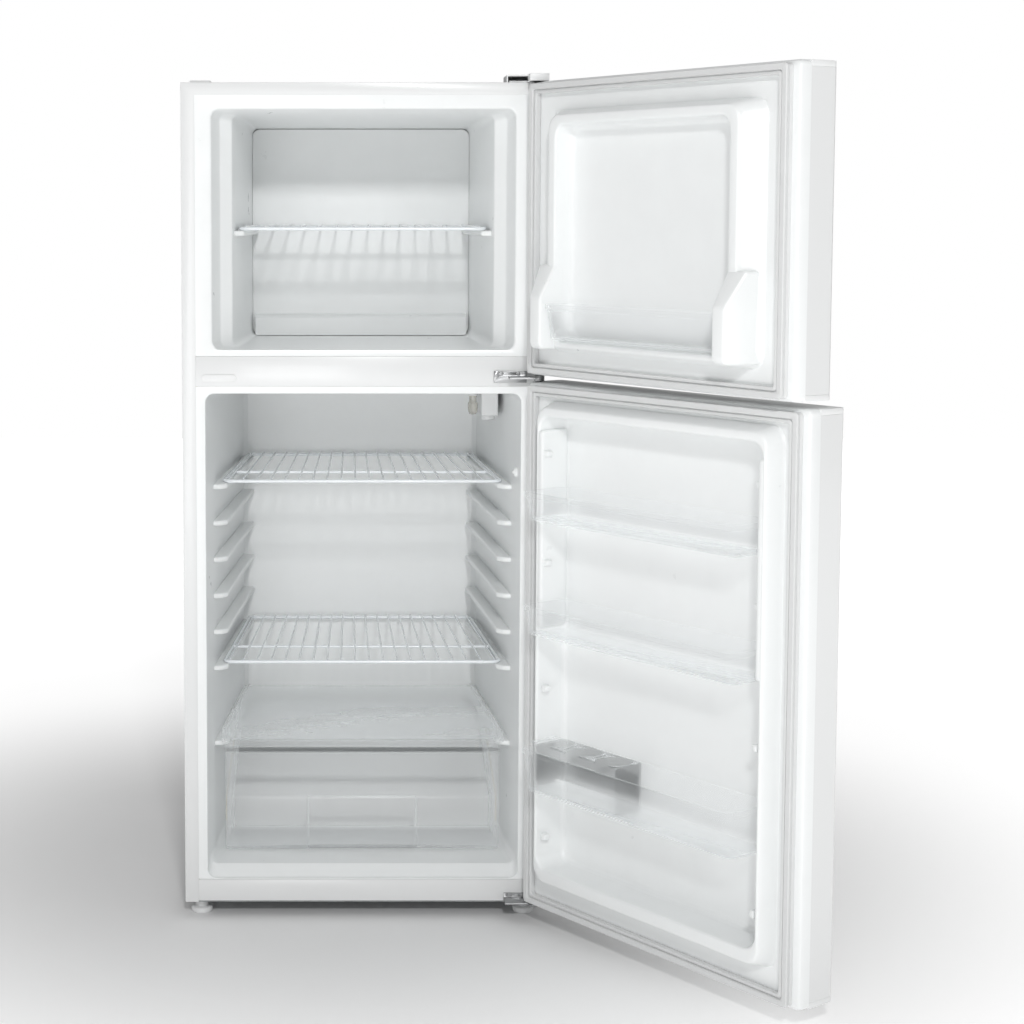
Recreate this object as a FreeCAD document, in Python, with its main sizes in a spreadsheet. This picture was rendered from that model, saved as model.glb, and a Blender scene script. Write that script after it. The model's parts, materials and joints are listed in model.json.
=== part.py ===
import FreeCAD, Part
import math
import os

import Sketcher

# Top freezer refrigerator with both doors standing open, in millimetres.
# +X is to the right, +Y to the back and +Z up. The origin is on the floor,
# under the middle of the cabinet. Each door is drawn shut, then turned open
# about its hinge pins by its Placement.

Vec = FreeCAD.Vector
doc = FreeCAD.newDocument("Refrigerator")
sheet = doc.addObject("Spreadsheet::Sheet", "Sizes")

SIZES = {
    # cabinet
    "cab_width": 600, "cab_depth": 600, "cab_low": 25, "cab_high": 1400,
    "skin": 1, "flange_side": 22.5, "flange_top": 20,
    "rail_low": 901, "rail_high": 951, "rail_return": 20, "base_rail_high": 64,
    "liner_wall": 1.5, "corner": 14,
    "freezer_half": 250, "freezer_low": 962, "freezer_high": 1357, "freezer_deep": 455,
    "throat_half": 218, "throat_deep": 60, "freezer_back_half": 196,
    "fridge_half": 262, "fridge_low": 66, "fridge_high": 889, "fridge_deep": 520,
    "fridge_back_half": 222, "fridge_floor": 84,
    "niche_front": 330, "niche_step": 96, "niche_roof_front": 420, "niche_roof": 215,
    # shelves, cover and drawer
    "shelf_front": 112, "shelf_back": 500, "shelf_front_half": 239, "shelf_back_half": 212,
    "upper_shelf_top": 734, "support_pitch": 63, "support_levels": 6, "support_thick": 9,
    "frame_wire": 3, "cross_wire": 1.5, "wire_pitch": 25, "freezer_wire_pitch": 31,
    "freezer_shelf_front": 96, "freezer_shelf_back": 396, "freezer_shelf_top": 1166,
    "freezer_shelf_half": 208, "freezer_shelf_back_half": 194,
    "cover_front": 86, "cover_back": 490, "cover_top": 282, "cover_thick": 3.5,
    "drawer_front": 92, "drawer_half": 237, "drawer_low": 88, "drawer_high": 268,
    "clear_wall": 2.4,
    # doors, measured with the doors shut
    "door_width": 600, "door_gap": 14, "door_thick": 73, "rim_thick": 21, "panel_round": 7,
    "cap_high": 9, "hinge_inset": 12, "hinge_out": 27, "pin_radius": 4,
    "bush_bore": 4.05, "bush_radius": 7,
    "freezer_door_low": 923, "freezer_door_high": 1399, "freezer_open": 122.75,
    "fridge_door_low": 38, "fridge_door_high": 911, "fridge_open": 126,
    "gasket_side": 13, "gasket_end": 4, "gasket_wide": 18,
    # feet
    "foot_radius": 18, "stud_radius": 5, "foot_x": 274, "foot_deep": 30,
    "roller_radius": 12, "roller_wide": 14, "roller_x": 268, "roller_deep": 560,
}
for row, (alias, value) in enumerate(SIZES.items(), start=1):
    sheet.set(f"A{row}", alias)
    sheet.set(f"B{row}", str(value))
    sheet.setAlias(f"B{row}", alias)
doc.recompute()


class Dim:
    """A length that keeps the sheet expression it came from beside its value."""

    def __init__(self, text, value):
        self.text = text
        self.value = float(value)

    def join(self, sign, other, swap=False):
        a, b = self, as_dim(other)
        if swap:
            a, b = b, a
        value = {
            "+": a.value + b.value,
            "-": a.value - b.value,
            "*": a.value * b.value,
            "/": a.value / b.value if b.value else 0,
        }[sign]
        return Dim(f"({a.text} {sign} {b.text})", value)

    def __add__(self, other):
        return self.join("+", other)

    def __radd__(self, other):
        return self.join("+", other, True)

    def __sub__(self, other):
        return self.join("-", other)

    def __rsub__(self, other):
        return self.join("-", other, True)

    def __mul__(self, other):
        return self.join("*", other)

    def __rmul__(self, other):
        return self.join("*", other, True)

    def __truediv__(self, other):
        return self.join("/", other)

    def __neg__(self):
        return self.join("*", -1)

    def __float__(self):
        return self.value


def as_dim(x):
    """A Dim as it is, or a plain number as a Dim."""
    return x if isinstance(x, Dim) else Dim(f"({x})", x)


def cell(alias):
    """The sheet's cell with this alias."""
    return Dim(f"Sizes.{alias}", sheet.get(alias))


# Driving dimensions under short names.
HALF = cell("cab_width") / 2
FRONT = -cell("cab_depth") / 2
BACK = cell("cab_depth") / 2
LOW = cell("cab_low")
HIGH = cell("cab_high")
SKIN = cell("skin")
WALL = cell("liner_wall")
HINGE_X = HALF - cell("hinge_inset")
HINGE_Y = FRONT - cell("hinge_out")
DOOR_INNER = FRONT - cell("door_gap")
DOOR_OUTER = DOOR_INNER - cell("door_thick")
RIM_OUTER = DOOR_INNER - cell("rim_thick")
PIN = cell("pin_radius")
CLEAR = cell("clear_wall")
HINGE_LEAF = 3

NODES = {}


def bind(obj, prop, dim):
    """Bind a property to a sheet expression."""
    obj.setExpression(prop, as_dim(dim).text)


def door_turn(door):
    """The placement that opens a door, as a turn about its hinge pins."""
    angle = float(cell(f"{door}_open"))
    pin = Vec(float(HINGE_X), float(HINGE_Y), 0)
    return FreeCAD.Placement(Vec(0, 0, 0), FreeCAD.Rotation(Vec(0, 0, 1), angle), pin)


def keep(obj, node, door=None):
    """Register an object as a sub-part, opened with its door if it is on one."""
    obj.Label = node
    if door:
        obj.Placement = door_turn(door).multiply(obj.Placement)
    NODES[node] = obj
    return obj


# ---------------------------------------------------------------- primitives


def block(name, low, high):
    """A box between two corners."""
    obj = doc.addObject("Part::Box", name)
    for prop, a, b in zip(("Length", "Width", "Height"), low, high):
        bind(obj, prop, as_dim(b) - a)
    for axis, a in zip("xyz", low):
        bind(obj, f"Placement.Base.{axis}", a)
    return obj


TURNS = {
    "z": FreeCAD.Rotation(),
    "y": FreeCAD.Rotation(Vec(1, 0, 0), -90),
    "x": FreeCAD.Rotation(Vec(0, 1, 0), 90),
}


def rod(name, radius, length, base, axis="z"):
    """A cylinder that runs from its base along +x, +y or +z."""
    obj = doc.addObject("Part::Cylinder", name)
    obj.Placement = FreeCAD.Placement(Vec(0, 0, 0), TURNS[axis])
    bind(obj, "Radius", radius)
    bind(obj, "Height", length)
    for letter, a in zip("xyz", base):
        bind(obj, f"Placement.Base.{letter}", a)
    return obj


def fuse(name, *parts):
    """One solid from several that meet."""
    obj = doc.addObject("Part::MultiFuse", name)
    obj.Shapes = list(parts)
    return obj


def cut(name, base, *tools):
    """The base with the tools taken out."""
    tool = tools[0] if len(tools) == 1 else fuse(f"{name}_tools", *tools)
    obj = doc.addObject("Part::Cut", name)
    obj.Base = base
    obj.Tool = tool
    return obj


def group(name, *parts):
    """Several separate solids that count as one sub-part."""
    obj = doc.addObject("Part::Compound", name)
    obj.Links = list(parts)
    return obj


def feature(name, shape):
    """A sub-part whose shape comes from Part's own functions."""
    obj = doc.addObject("Part::Feature", name)
    obj.Shape = shape
    return obj


# ------------------------------------------------------- sketched bodies

AXES = {"XY_Plane": (0, 1, 2, 1), "XZ_Plane": (0, 2, 1, -1), "YZ_Plane": (1, 2, 0, 1)}


def body(name):
    return doc.addObject("PartDesign::Body", name)


def origin_plane(owner, role):
    return next(f for f in owner.Origin.OriginFeatures if f.Role == role)


def sketch(owner, name, role, corner, level, loops):
    """A sketch of closed polygons, each vertex bound to the sheet.

    corner is the sketch's own origin in the plane's two axes, level its place
    along the third row axis, and loops hold points measured from that corner.
    """
    sign = AXES[role][3]
    obj = owner.newObject("Sketcher::SketchObject", name)
    obj.AttachmentSupport = (origin_plane(owner, role), [""])
    obj.MapMode = "FlatFace"
    for letter, dim in zip("xyz", (*corner, as_dim(level) * sign)):
        bind(obj, f"AttachmentOffset.Base.{letter}", dim)
    for points in loops:
        draw_loop(obj, [(as_dim(x), as_dim(y)) for x, y in points])
    return obj


def draw_loop(obj, points):
    """A closed polygon with every vertex pinned by its distances."""
    first = obj.GeometryCount
    count = len(points)
    for i in range(count):
        a, b = points[i], points[(i + 1) % count]
        obj.addGeometry(
            Part.LineSegment(
                Vec(float(a[0]), float(a[1]), 0), Vec(float(b[0]), float(b[1]), 0)
            )
        )
    for i in range(count):
        nxt = first + (i + 1) % count
        obj.addConstraint(Sketcher.Constraint("Coincident", first + i, 2, nxt, 1))
    for i, point in enumerate(points):
        for kind, axis, dim in (("DistanceX", -2, point[0]), ("DistanceY", -1, point[1])):
            if abs(float(dim)) < 1e-9:
                pinned = Sketcher.Constraint("PointOnObject", first + i, 1, axis)
                obj.addConstraint(pinned)
                continue
            index = obj.addConstraint(
                Sketcher.Constraint(kind, -1, 1, first + i, 1, float(dim))
            )
            bind(obj, f"Constraints[{index}]", dim)


def pad(owner, name, profile, length, back=False):
    """Extrude a sketch, away from or against its plane's normal."""
    obj = owner.newObject("PartDesign::Pad", name)
    obj.Profile = profile
    bind(obj, "Length", length)
    obj.Reversed = back
    owner.Tip = obj
    return obj


def spin(owner, name, profile, axis="V_Axis"):
    """Turn a sketch through a whole circle about one of its axes."""
    obj = owner.newObject("PartDesign::Revolution", name)
    obj.Profile = profile
    obj.ReferenceAxis = (profile, [axis])
    obj.Angle = 360
    owner.Tip = obj
    return obj


def round_edges(owner, name, radius, chosen):
    """Fillet the tip's edges that the chosen test accepts."""
    doc.recompute()
    tip = owner.Tip
    names = [f"Edge{i + 1}" for i, e in enumerate(tip.Shape.Edges) if chosen(e)]
    obj = owner.newObject("PartDesign::Fillet", name)
    obj.Base = (tip, names)
    bind(obj, "Radius", radius)
    owner.Tip = obj
    return obj


def upright(edge):
    """True for a straight edge along Z."""
    a, b = edge.Vertexes[0].Point, edge.Vertexes[-1].Point
    return abs(a.x - b.x) < 1e-6 and abs(a.y - b.y) < 1e-6 and abs(a.z - b.z) > 1e-6


def turned(name, centre, profile, role="XZ_Plane", axis="V_Axis"):
    """A round piece: its profile's points are (radius, height) from the centre."""
    owner = body(name)
    a, b, c, _ = AXES[role]
    lines = sketch(owner, f"{name}_outline", role, (centre[a], centre[b]), centre[c], [profile])
    spin(owner, f"{name}_round", lines, axis)
    return owner


def plate(name, role, corner, level, length, points, back=False):
    """A flat or bent piece of one outline and one thickness."""
    owner = body(name)
    lines = sketch(owner, f"{name}_outline", role, corner, level, [points])
    pad(owner, f"{name}_pad", lines, length, back)
    return owner


# ---------------------------------------------------------- tapered shapes


def rounded_wire(x_half, z_low, z_high, radius, y):
    """A rounded rectangle in the plane of one depth, centred on x = 0."""
    r = radius
    k = r * (1 - math.sqrt(0.5))
    corners = [
        ((x_half - r, z_low), (x_half - k, z_low + k), (x_half, z_low + r)),
        ((x_half, z_high - r), (x_half - k, z_high - k), (x_half - r, z_high)),
        ((r - x_half, z_high), (k - x_half, z_high - k), (-x_half, z_high - r)),
        ((-x_half, z_low + r), (k - x_half, z_low + k), (r - x_half, z_low)),
    ]
    edges = []
    for i, arc in enumerate(corners):
        a, b, c = (Vec(x, y, z) for x, z in arc)
        nxt = corners[(i + 1) % 4][0]
        edges.append(Part.Arc(a, b, c).toShape())
        edges.append(Part.LineSegment(c, Vec(nxt[0], y, nxt[1])).toShape())
    return Part.Wire(edges)


def tapered(sections):
    """A straight-sided solid through sections of (y, x_half, z_low, z_high, radius)."""
    wires = [rounded_wire(x, low, high, r, y) for y, x, low, high, r in sections]
    return Part.makeLoft(wires, True, True)


def rounded_block(x_half, z_low, z_high, radius, y_low, y_high, grow_low=0):
    """A rounded rectangle drawn out in y, grow_low wider at its lower y."""
    near = (y_low, x_half + grow_low, z_low - grow_low, z_high + grow_low, radius)
    return tapered([near, (y_high, x_half, z_low, z_high, radius)])


def prism(points, axis, low, high):
    """A polygon drawn out along one axis; points are in the other two, in order."""
    place = {
        "x": lambda a, b: Vec(low, a, b),
        "y": lambda a, b: Vec(a, low, b),
        "z": lambda a, b: Vec(a, b, low),
    }[axis]
    way = {"x": Vec(1, 0, 0), "y": Vec(0, 1, 0), "z": Vec(0, 0, 1)}[axis]
    wire = Part.makePolygon([place(*p) for p in [*points, points[0]]])
    return Part.Face(wire).extrude(way * (high - low))


def box_solid(low, high):
    return Part.makeBox(*(b - a for a, b in zip(low, high)), Vec(*low))


def tube_along(points, radius, bend):
    """A round bar along straight runs joined by tangent arcs."""
    points = [Vec(*p) for p in points]
    edges = []
    start = points[0]
    for before, at, after in zip(points, points[1:], points[2:]):
        u, v = (before - at).normalize(), (after - at).normalize()
        half = u.getAngle(v) / 2
        run = bend / math.tan(half)
        a, b = at + u * run, at + v * run
        middle = (u + v).normalize()
        top = at + middle * (bend / math.sin(half) - bend)
        edges.append(Part.LineSegment(start, a).toShape())
        edges.append(Part.Arc(a, top, b).toShape())
        start = b
    edges.append(Part.LineSegment(start, points[-1]).toShape())
    way = points[1] - points[0]
    ring = Part.Wire([Part.makeCircle(radius, points[0], way)])
    return Part.Wire(edges).makePipeShell([ring], True, False)


# ------------------------------------------------------------------ cabinet

front = float(FRONT)
wall = float(WALL)
# the lamp's (x, y) under the ceiling, and the switch's (y, z) on the right wall
LAMP = (197, front + 232)
SWITCH = (front + 46, 752.5)


def at_depth(depth):
    """The y of a plane this far behind the cabinet's front."""
    return front + depth


def make_outer_cabinet_shell():
    """Sheet steel wrapped over both sides and the top, with a front flange."""
    owner = body("outer_cabinet_shell")
    width, tall = HALF * 2, HIGH - LOW
    side, top = cell("flange_side"), cell("flange_top")

    def hoop(side_wide, top_wide):
        return [
            (0, 0), (0, tall), (width, tall), (width, 0), (width - side_wide, 0),
            (width - side_wide, tall - top_wide), (side_wide, tall - top_wide), (side_wide, 0),
        ]

    wrap = sketch(owner, "wrap", "XZ_Plane", (-HALF, LOW), FRONT, [hoop(SKIN, SKIN)])
    pad(owner, "wrap_pad", wrap, BACK - FRONT, True)
    flange = sketch(owner, "flange", "XZ_Plane", (-HALF, LOW), FRONT, [hoop(side, top)])
    pad(owner, "flange_pad", flange, SKIN, True)
    keep(owner, "outer_cabinet_shell")


def make_rear_panel():
    low = cell("niche_roof") + SKIN
    points = [(0, 0), (0, HIGH - SKIN - low), (HALF * 2 - SKIN * 2, HIGH - SKIN - low),
              (HALF * 2 - SKIN * 2, 0)]
    keep(plate("rear_panel", "XZ_Plane", (SKIN - HALF, low), BACK - SKIN, SKIN, points, True),
         "rear_panel")


def niche_line(grow):
    """The bent line of the machine compartment in (depth, height), grown outwards."""
    step = float(cell("niche_step")) + float(LOW)
    return [
        (float(cell("niche_front")) - grow, step + grow * 0.4),
        (float(cell("niche_roof_front")) - grow * 0.4, float(cell("niche_roof")) + grow),
    ]


def make_base_pan():
    """The floor sheet, bent up to roof the machine compartment."""
    niche, roof = cell("niche_front"), cell("niche_roof") - LOW
    roof_front, step = cell("niche_roof_front"), cell("niche_step")
    depth = BACK - FRONT
    points = [
        (SKIN, 0), (niche, 0), (niche, step), (roof_front, roof), (depth - SKIN, roof),
        (depth - SKIN, roof + SKIN), (roof_front - 0.5, roof + SKIN), (niche - SKIN, step + 0.4),
        (niche - SKIN, SKIN), (SKIN, SKIN),
    ]
    pan = plate("pan_sheet", "YZ_Plane", (FRONT, LOW), SKIN - HALF, (HALF - SKIN) * 2, points)
    holes = [
        rod(f"pan_hole_{i}", cell("stud_radius") + 1, 6, (x, FRONT + cell("foot_deep"), LOW - 2))
        for i, x in enumerate((-cell("foot_x"), cell("foot_x")))
    ]
    keep(cut("base_pan", pan, *holes), "base_pan")


def channel(name, low, high, deep):
    """A front rail: a face strip with a return at its top and bottom."""
    tall = high - low
    t = SKIN * 1.2
    points = [
        (0, 0), (deep, 0), (deep, t), (t, t), (t, tall - t), (deep, tall - t), (deep, tall),
        (0, tall),
    ]
    half = HALF - cell("flange_side")
    return plate(name, "YZ_Plane", (FRONT, low), -half, half * 2, points)


def make_front_rails():
    keep(channel("divider_rail", cell("rail_low"), cell("rail_high"), cell("rail_return")),
         "divider_rail")
    keep(channel("base_rail", LOW + SKIN * 2, cell("base_rail_high"), cell("rail_return")),
         "base_rail")


def freezer_cavity(grow):
    """The freezer's hollow as a solid, grown on every inner side."""
    half, throat, back = (
        float(cell(n)) for n in ("freezer_half", "throat_half", "freezer_back_half")
    )
    low, high = float(cell("freezer_low")), float(cell("freezer_high"))
    deep, throat_deep = float(cell("freezer_deep")), float(cell("throat_deep"))
    r = float(cell("corner"))
    lip = front + wall
    return tapered([
        (lip - 3, half + grow, low - grow, high + grow, r),
        (lip + 6, half - 1 + grow, low - grow, high - 1 + grow, r),
        (front + throat_deep * 0.72, half - 12 + grow, low - grow, high - 4 + grow, r),
        (front + throat_deep, throat + grow, low - grow, high - 6 + grow, r),
        (front + deep - 10, back + 1 + grow, low - grow, high - 18 + grow, r),
        (front + deep + grow, back - 8 + grow, low + 8 - grow, high - 27 + grow, r),
    ])


def fridge_cavity(grow):
    """The fridge's hollow as a solid, without the hump over the compressor."""
    half, back = float(cell("fridge_half")), float(cell("fridge_back_half"))
    low, high = float(cell("fridge_low")), float(cell("fridge_high"))
    floor, deep = float(cell("fridge_floor")), float(cell("fridge_deep"))
    r = float(cell("corner"))
    lip = front + wall
    lean = (half - back) / deep
    hollow = tapered([
        (lip - 3, half + grow, low - grow, high + grow, r),
        (lip + 4, half - 0.5 + grow, low - grow, high - 0.5 + grow, r),
        (front + 26, half - 26 * lean + grow, floor - grow, high - 2 + grow, r),
        (front + deep - 10, back + 1 + grow, floor + 2 - grow, high - 14 + grow, r),
        (front + deep + grow, back - 8 + grow, floor + 10 - grow, high - 24 + grow, r),
    ])
    hump = [
        (front + 232 + grow, floor - 20), (front + 236 + grow, 136 - grow * 0.5),
        (front + 250 + grow * 0.7, 150 - grow * 0.8),
        (front + 392 + grow * 0.5, 250 - grow), (front + 560, 254 - grow),
        (front + 560, floor - 20),
    ]
    return hollow.cut(prism(hump, "x", -float(HALF), float(HALF)))


def liner_flange(outer_low, outer_high):
    """The flat lip round a liner's mouth, tucked behind the steel."""
    half = float(HALF) - 8
    return box_solid((-half, front + 1.3, outer_low), (half, front + 1.3 + wall, outer_high))


def make_freezer_liner():
    lip = liner_flange(float(cell("rail_high")) + 0.1, float(HIGH) - 8)
    shell = freezer_cavity(wall).fuse(lip).cut(freezer_cavity(0))
    cropped = shell.common(
        box_solid((-float(HALF), front + 1.3, 900), (float(HALF), 0 - front, 1399))
    )
    rest_top = float(cell("freezer_shelf_top")) - 8.4
    rests = []
    for side in (-1, 1):
        line = [
            (side * 222, at_depth(92)), (side * 201, at_depth(96)),
            (side * 187, at_depth(392)), (side * 206, at_depth(398)),
        ]
        rests.append(prism(line, "z", rest_top - 9, rest_top))
    shelf_rests = rests[0].fuse(rests[1]).common(freezer_cavity(wall * 0.5))
    keep(feature("freezer_liner", cropped.fuse(shelf_rests).removeSplitter()), "freezer_liner")


def fridge_wall(depth):
    """Half the fridge hollow's width this far in."""
    half, back = float(cell("fridge_half")), float(cell("fridge_back_half"))
    return half - (half - back) * depth / float(cell("fridge_deep"))


def support_tops():
    """Heights of the tops of the moulded shelf supports, highest first."""
    first = float(cell("upper_shelf_top")) - 9.3
    pitch = float(cell("support_pitch"))
    return [first - pitch * k for k in range(int(cell("support_levels").value))]


def make_fridge_liner():
    """The fridge's one-piece liner with its ribs, switch boss and shelf supports."""
    lip = liner_flange(float(cell("base_rail_high")) + 0.1, float(cell("rail_low")) - 0.1)
    shell = fridge_cavity(wall).fuse(lip).cut(fridge_cavity(0))
    whole = shell.common(
        box_solid((-float(HALF), front + 1.3, 60), (float(HALF), 0 - front, 910))
    )
    thick = float(cell("support_thick"))
    ledge = float(cell("cover_top")) - float(cell("cover_thick")) - 0.3
    rib_levels = [(top - thick, top) for top in support_tops()] + [(ledge - 8, ledge)]
    ribs = []
    for side in (-1, 1):
        line = [
            (side * (fridge_wall(96) + 3), at_depth(96)),
            (side * (fridge_wall(96) - 8), at_depth(98)),
            (side * (fridge_wall(108) - 23), at_depth(108)),
            (side * (fridge_wall(500) - 22), at_depth(500)),
            (side * (fridge_wall(505) + 3), at_depth(505)),
        ]
        ribs += [prism(line, "z", low, high) for low, high in rib_levels]
    hollow = fridge_cavity(wall * 0.5)
    for rib in ribs:
        whole = whole.fuse(rib.common(hollow))
    # the switch's boss fills a window in the wall, and its plunger runs in the boss
    x, (y, z) = fridge_wall(40), SWITCH
    window = box_solid((x - 6, y - 9, z - 7), (x + 6, y + 9, z + 7))
    boss = box_solid((x - 3.5, y - 9, z - 7), (x + 2.5, y + 9, z + 7))
    plunger = Part.makeCylinder(4.4, 30, Vec(x - 12, y, z), Vec(1, 0, 0))
    whole = whole.cut(window).fuse(boss.cut(plunger))
    x, y = LAMP
    roof = float(cell("fridge_high"))
    window = box_solid((x - 11, y - 11, roof - 16), (x + 11, y + 11, roof + 4))
    collar = box_solid((x - 11, y - 11, roof - 9), (x + 11, y + 11, roof - 5))
    hole = Part.makeCylinder(9, 30, Vec(x, y, roof - 20))
    whole = whole.cut(window).fuse(collar.cut(hole))
    keep(feature("fridge_liner", whole.removeSplitter()), "fridge_liner")


def make_insulation():
    """Foam between the steel and the liners, one piece for the whole cabinet."""
    gap = 0.2
    skin = float(SKIN)
    low, high = float(LOW) + skin + gap, float(HIGH) - skin - gap
    niche = niche_line(skin + 0.3)
    profile = [
        (front + 3, low), (front + niche[0][0], low), (front + niche[0][0], niche[0][1]),
        (front + niche[1][0], niche[1][1]), (float(BACK) - skin - gap, niche[1][1]),
        (float(BACK) - skin - gap, high), (front + 3, high),
    ]
    half = float(HALF) - skin - gap
    foam = prism(profile, "x", -half, half)
    tools = [freezer_cavity(wall + gap), fridge_cavity(wall + gap)]
    rail_half = float(HALF) - float(cell("flange_side")) + gap
    deep = float(cell("rail_return")) + gap
    for a, b in (("rail_low", "rail_high"), ("cab_low", "base_rail_high")):
        low_z, high_z = float(cell(a)) - gap, float(cell(b)) + gap
        tools.append(box_solid((-rail_half, front, low_z), (rail_half, front + deep, high_z)))
    for side in (-1, 1):
        at = Vec(side * float(cell("foot_x")), at_depth(float(cell("foot_deep"))), float(LOW))
        tools.append(Part.makeCylinder(float(cell("stud_radius")) + 2, 26, at))
    tools.append(Part.makeCylinder(16, 40, Vec(*LAMP, float(cell("fridge_high")) - 10)))
    tools.append(Part.makeCylinder(12.5, 34, Vec(fridge_wall(46) - 4, *SWITCH), Vec(1, 0, 0)))
    for tool in tools:
        foam = foam.cut(tool)
    keep(feature("cabinet_insulation", foam), "cabinet_insulation")


RAIL_COVER_Z = 914.5


def make_hinge_hole_covers():
    """Blank covers over the spare hinge fixings on the left side."""
    z, r, thick = RAIL_COVER_Z, 6, 1.6
    rail = block("rail_cover_bar", (-262, FRONT - thick, z - r), (-216, FRONT, z + r))
    ends = [rod(f"rail_cover_end_{i}", r, thick, (x, FRONT - thick, z), "y")
            for i, x in enumerate((-262, -216))]
    plug = block("top_plug", (-285, FRONT + 6, HIGH), (-251, FRONT + 60, HIGH + 3.5))
    doc.recompute()
    rounded = doc.addObject("Part::Fillet", "top_plug_round")
    rounded.Base = plug
    rounded.Edges = [(i + 1, 1.5, 1.5) for i, e in enumerate(plug.Shape.Edges)
                     if min(v.Z for v in e.Vertexes) > float(HIGH) + 1]
    keep(group("hinge_hole_covers", fuse("rail_cover", rail, *ends), rounded),
         "hinge_hole_covers")


# ------------------------------------------------------------------- hinges


def make_top_hinge():
    """A plate on the cabinet's top that reaches out over the freezer door."""
    leaf = block("top_leaf", (HALF - 62, FRONT + 2, HIGH), (HALF - 4, FRONT + 62, HIGH + HINGE_LEAF))
    arm = block("top_arm", (HINGE_X - 16, HINGE_Y - 4, HIGH), (HINGE_X + 8, FRONT + 3, HIGH + HINGE_LEAF))
    nose = rod("top_nose", 8, HINGE_LEAF, (HINGE_X, HINGE_Y - 4, HIGH))
    pin = rod("top_pin", PIN, 24 + HINGE_LEAF, (HINGE_X, HINGE_Y, HIGH - 24))
    holes = [rod(f"top_hole_{i}", 3.2, 8, (x, FRONT + 34, HIGH - 2)) for i, x in enumerate(TOP_SCREWS)]
    keep(cut("top_hinge", fuse("top_hinge_plate", leaf, arm, nose, pin), *holes), "top_hinge")


TOP_SCREWS = (HALF - 50, HALF - 18)
MIDDLE_SCREWS = (HALF - 72, HALF - 44)
BOTTOM_SCREWS = (HALF - 52, HALF - 30)
BOTTOM_SCREW_UP = 12.9


def make_top_hinge_cover():
    """The moulded cap that hides the top hinge."""
    outer = block("top_cover_outer", (HALF - 66, FRONT - 2, HIGH), (HALF - 1, FRONT + 67, HIGH + 12))
    nose = block("top_cover_nose", (HINGE_X - 20, HINGE_Y - 18, HIGH), (HALF - 1, FRONT, HIGH + 12))
    inner = block("top_cover_inner", (HALF - 64, FRONT - 3, HIGH - 1), (HALF - 3, FRONT + 65, HIGH + 10))
    hole = block("top_cover_nose_in", (HINGE_X - 18, HINGE_Y - 16, HIGH - 1), (HALF - 1.6, FRONT, HIGH + 10))
    keep(cut("top_hinge_cover", fuse("top_cover_shape", outer, nose), inner, hole),
         "top_hinge_cover")


def make_middle_hinge():
    """The bracket on the divider rail, with a pin up and a pin down."""
    mid = (cell("freezer_door_low") + cell("fridge_door_high")) / 2
    low = mid - HINGE_LEAF / 2
    face = block("mid_face", (HALF - 84, FRONT - HINGE_LEAF, mid - 9.5), (HALF - 30, FRONT, mid + 9.5))
    leaf = block("mid_leaf", (HALF - 60, HINGE_Y - 6, low), (HINGE_X + 2, FRONT - 2, low + HINGE_LEAF))
    nose = rod("mid_nose", 9, HINGE_LEAF, (HINGE_X, HINGE_Y, low))
    pin = rod("mid_pin", PIN, 48, (HINGE_X, HINGE_Y, mid - 24))
    washers = rod("mid_washer", 8, 9, (HINGE_X, HINGE_Y, mid - 4.5))
    holes = [rod(f"mid_hole_{i}", 3, 8, (x, FRONT - 6, mid + 5.5), "y")
             for i, x in enumerate(MIDDLE_SCREWS)]
    keep(cut("middle_hinge", fuse("middle_hinge_plate", face, leaf, nose, pin, washers), *holes),
         "middle_hinge")


def make_bottom_hinge():
    """The bracket under the fridge door."""
    low = cell("fridge_door_low") - 7
    top = LOW + 16.4
    face = block("low_face", (HALF - 62, FRONT - HINGE_LEAF, LOW + 1), (HALF - 6, FRONT, top))
    leaf = block("low_leaf", (HALF - 62, HINGE_Y - 6, low), (HINGE_X + 8, FRONT - 1, low + HINGE_LEAF))
    nose = rod("low_nose", 10, HINGE_LEAF, (HINGE_X - 2, HINGE_Y - 6, low))
    washer = rod("low_washer", 8, 6, (HINGE_X, HINGE_Y, low))
    pin = rod("low_pin", PIN, 30, (HINGE_X, HINGE_Y, low))
    holes = [rod(f"low_hole_{i}", 3, 8, (x, FRONT - 6, LOW + BOTTOM_SCREW_UP), "y")
             for i, x in enumerate(BOTTOM_SCREWS)]
    keep(cut("bottom_hinge", fuse("bottom_hinge_plate", face, leaf, nose, washer, pin), *holes),
         "bottom_hinge")


def make_hinge_screws():
    """Pan head screws, two to a hinge, as separate solids."""
    mid = (cell("freezer_door_low") + cell("fridge_door_high")) / 2
    screws = []
    for i, x in enumerate(TOP_SCREWS):
        screws.append(fuse(
            f"top_screw_{i}",
            rod(f"top_screw_head_{i}", 5.5, 2.4, (x, FRONT + 34, HIGH + HINGE_LEAF)),
            rod(f"top_screw_shank_{i}", 2.8, HINGE_LEAF, (x, FRONT + 34, HIGH + 0.1)),
        ))
    radius = 3.4
    rows = [("mid", MIDDLE_SCREWS, mid + 5.5), ("low", BOTTOM_SCREWS, LOW + BOTTOM_SCREW_UP)]
    for row_name, places, height in rows:
        for i, x in enumerate(places):
            head = (x, FRONT - HINGE_LEAF - 1.8, height)
            shank = (x, FRONT - HINGE_LEAF - 0.5, height)
            screws.append(fuse(
                f"{row_name}_screw_{i}",
                rod(f"{row_name}_screw_head_{i}", radius, 1.8, head, "y"),
                rod(f"{row_name}_screw_shank_{i}", 2.8, HINGE_LEAF, shank, "y"),
            ))
    keep(group("hinge_screws", *screws), "hinge_screws")


# --------------------------------------------------------------------- feet


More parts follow.
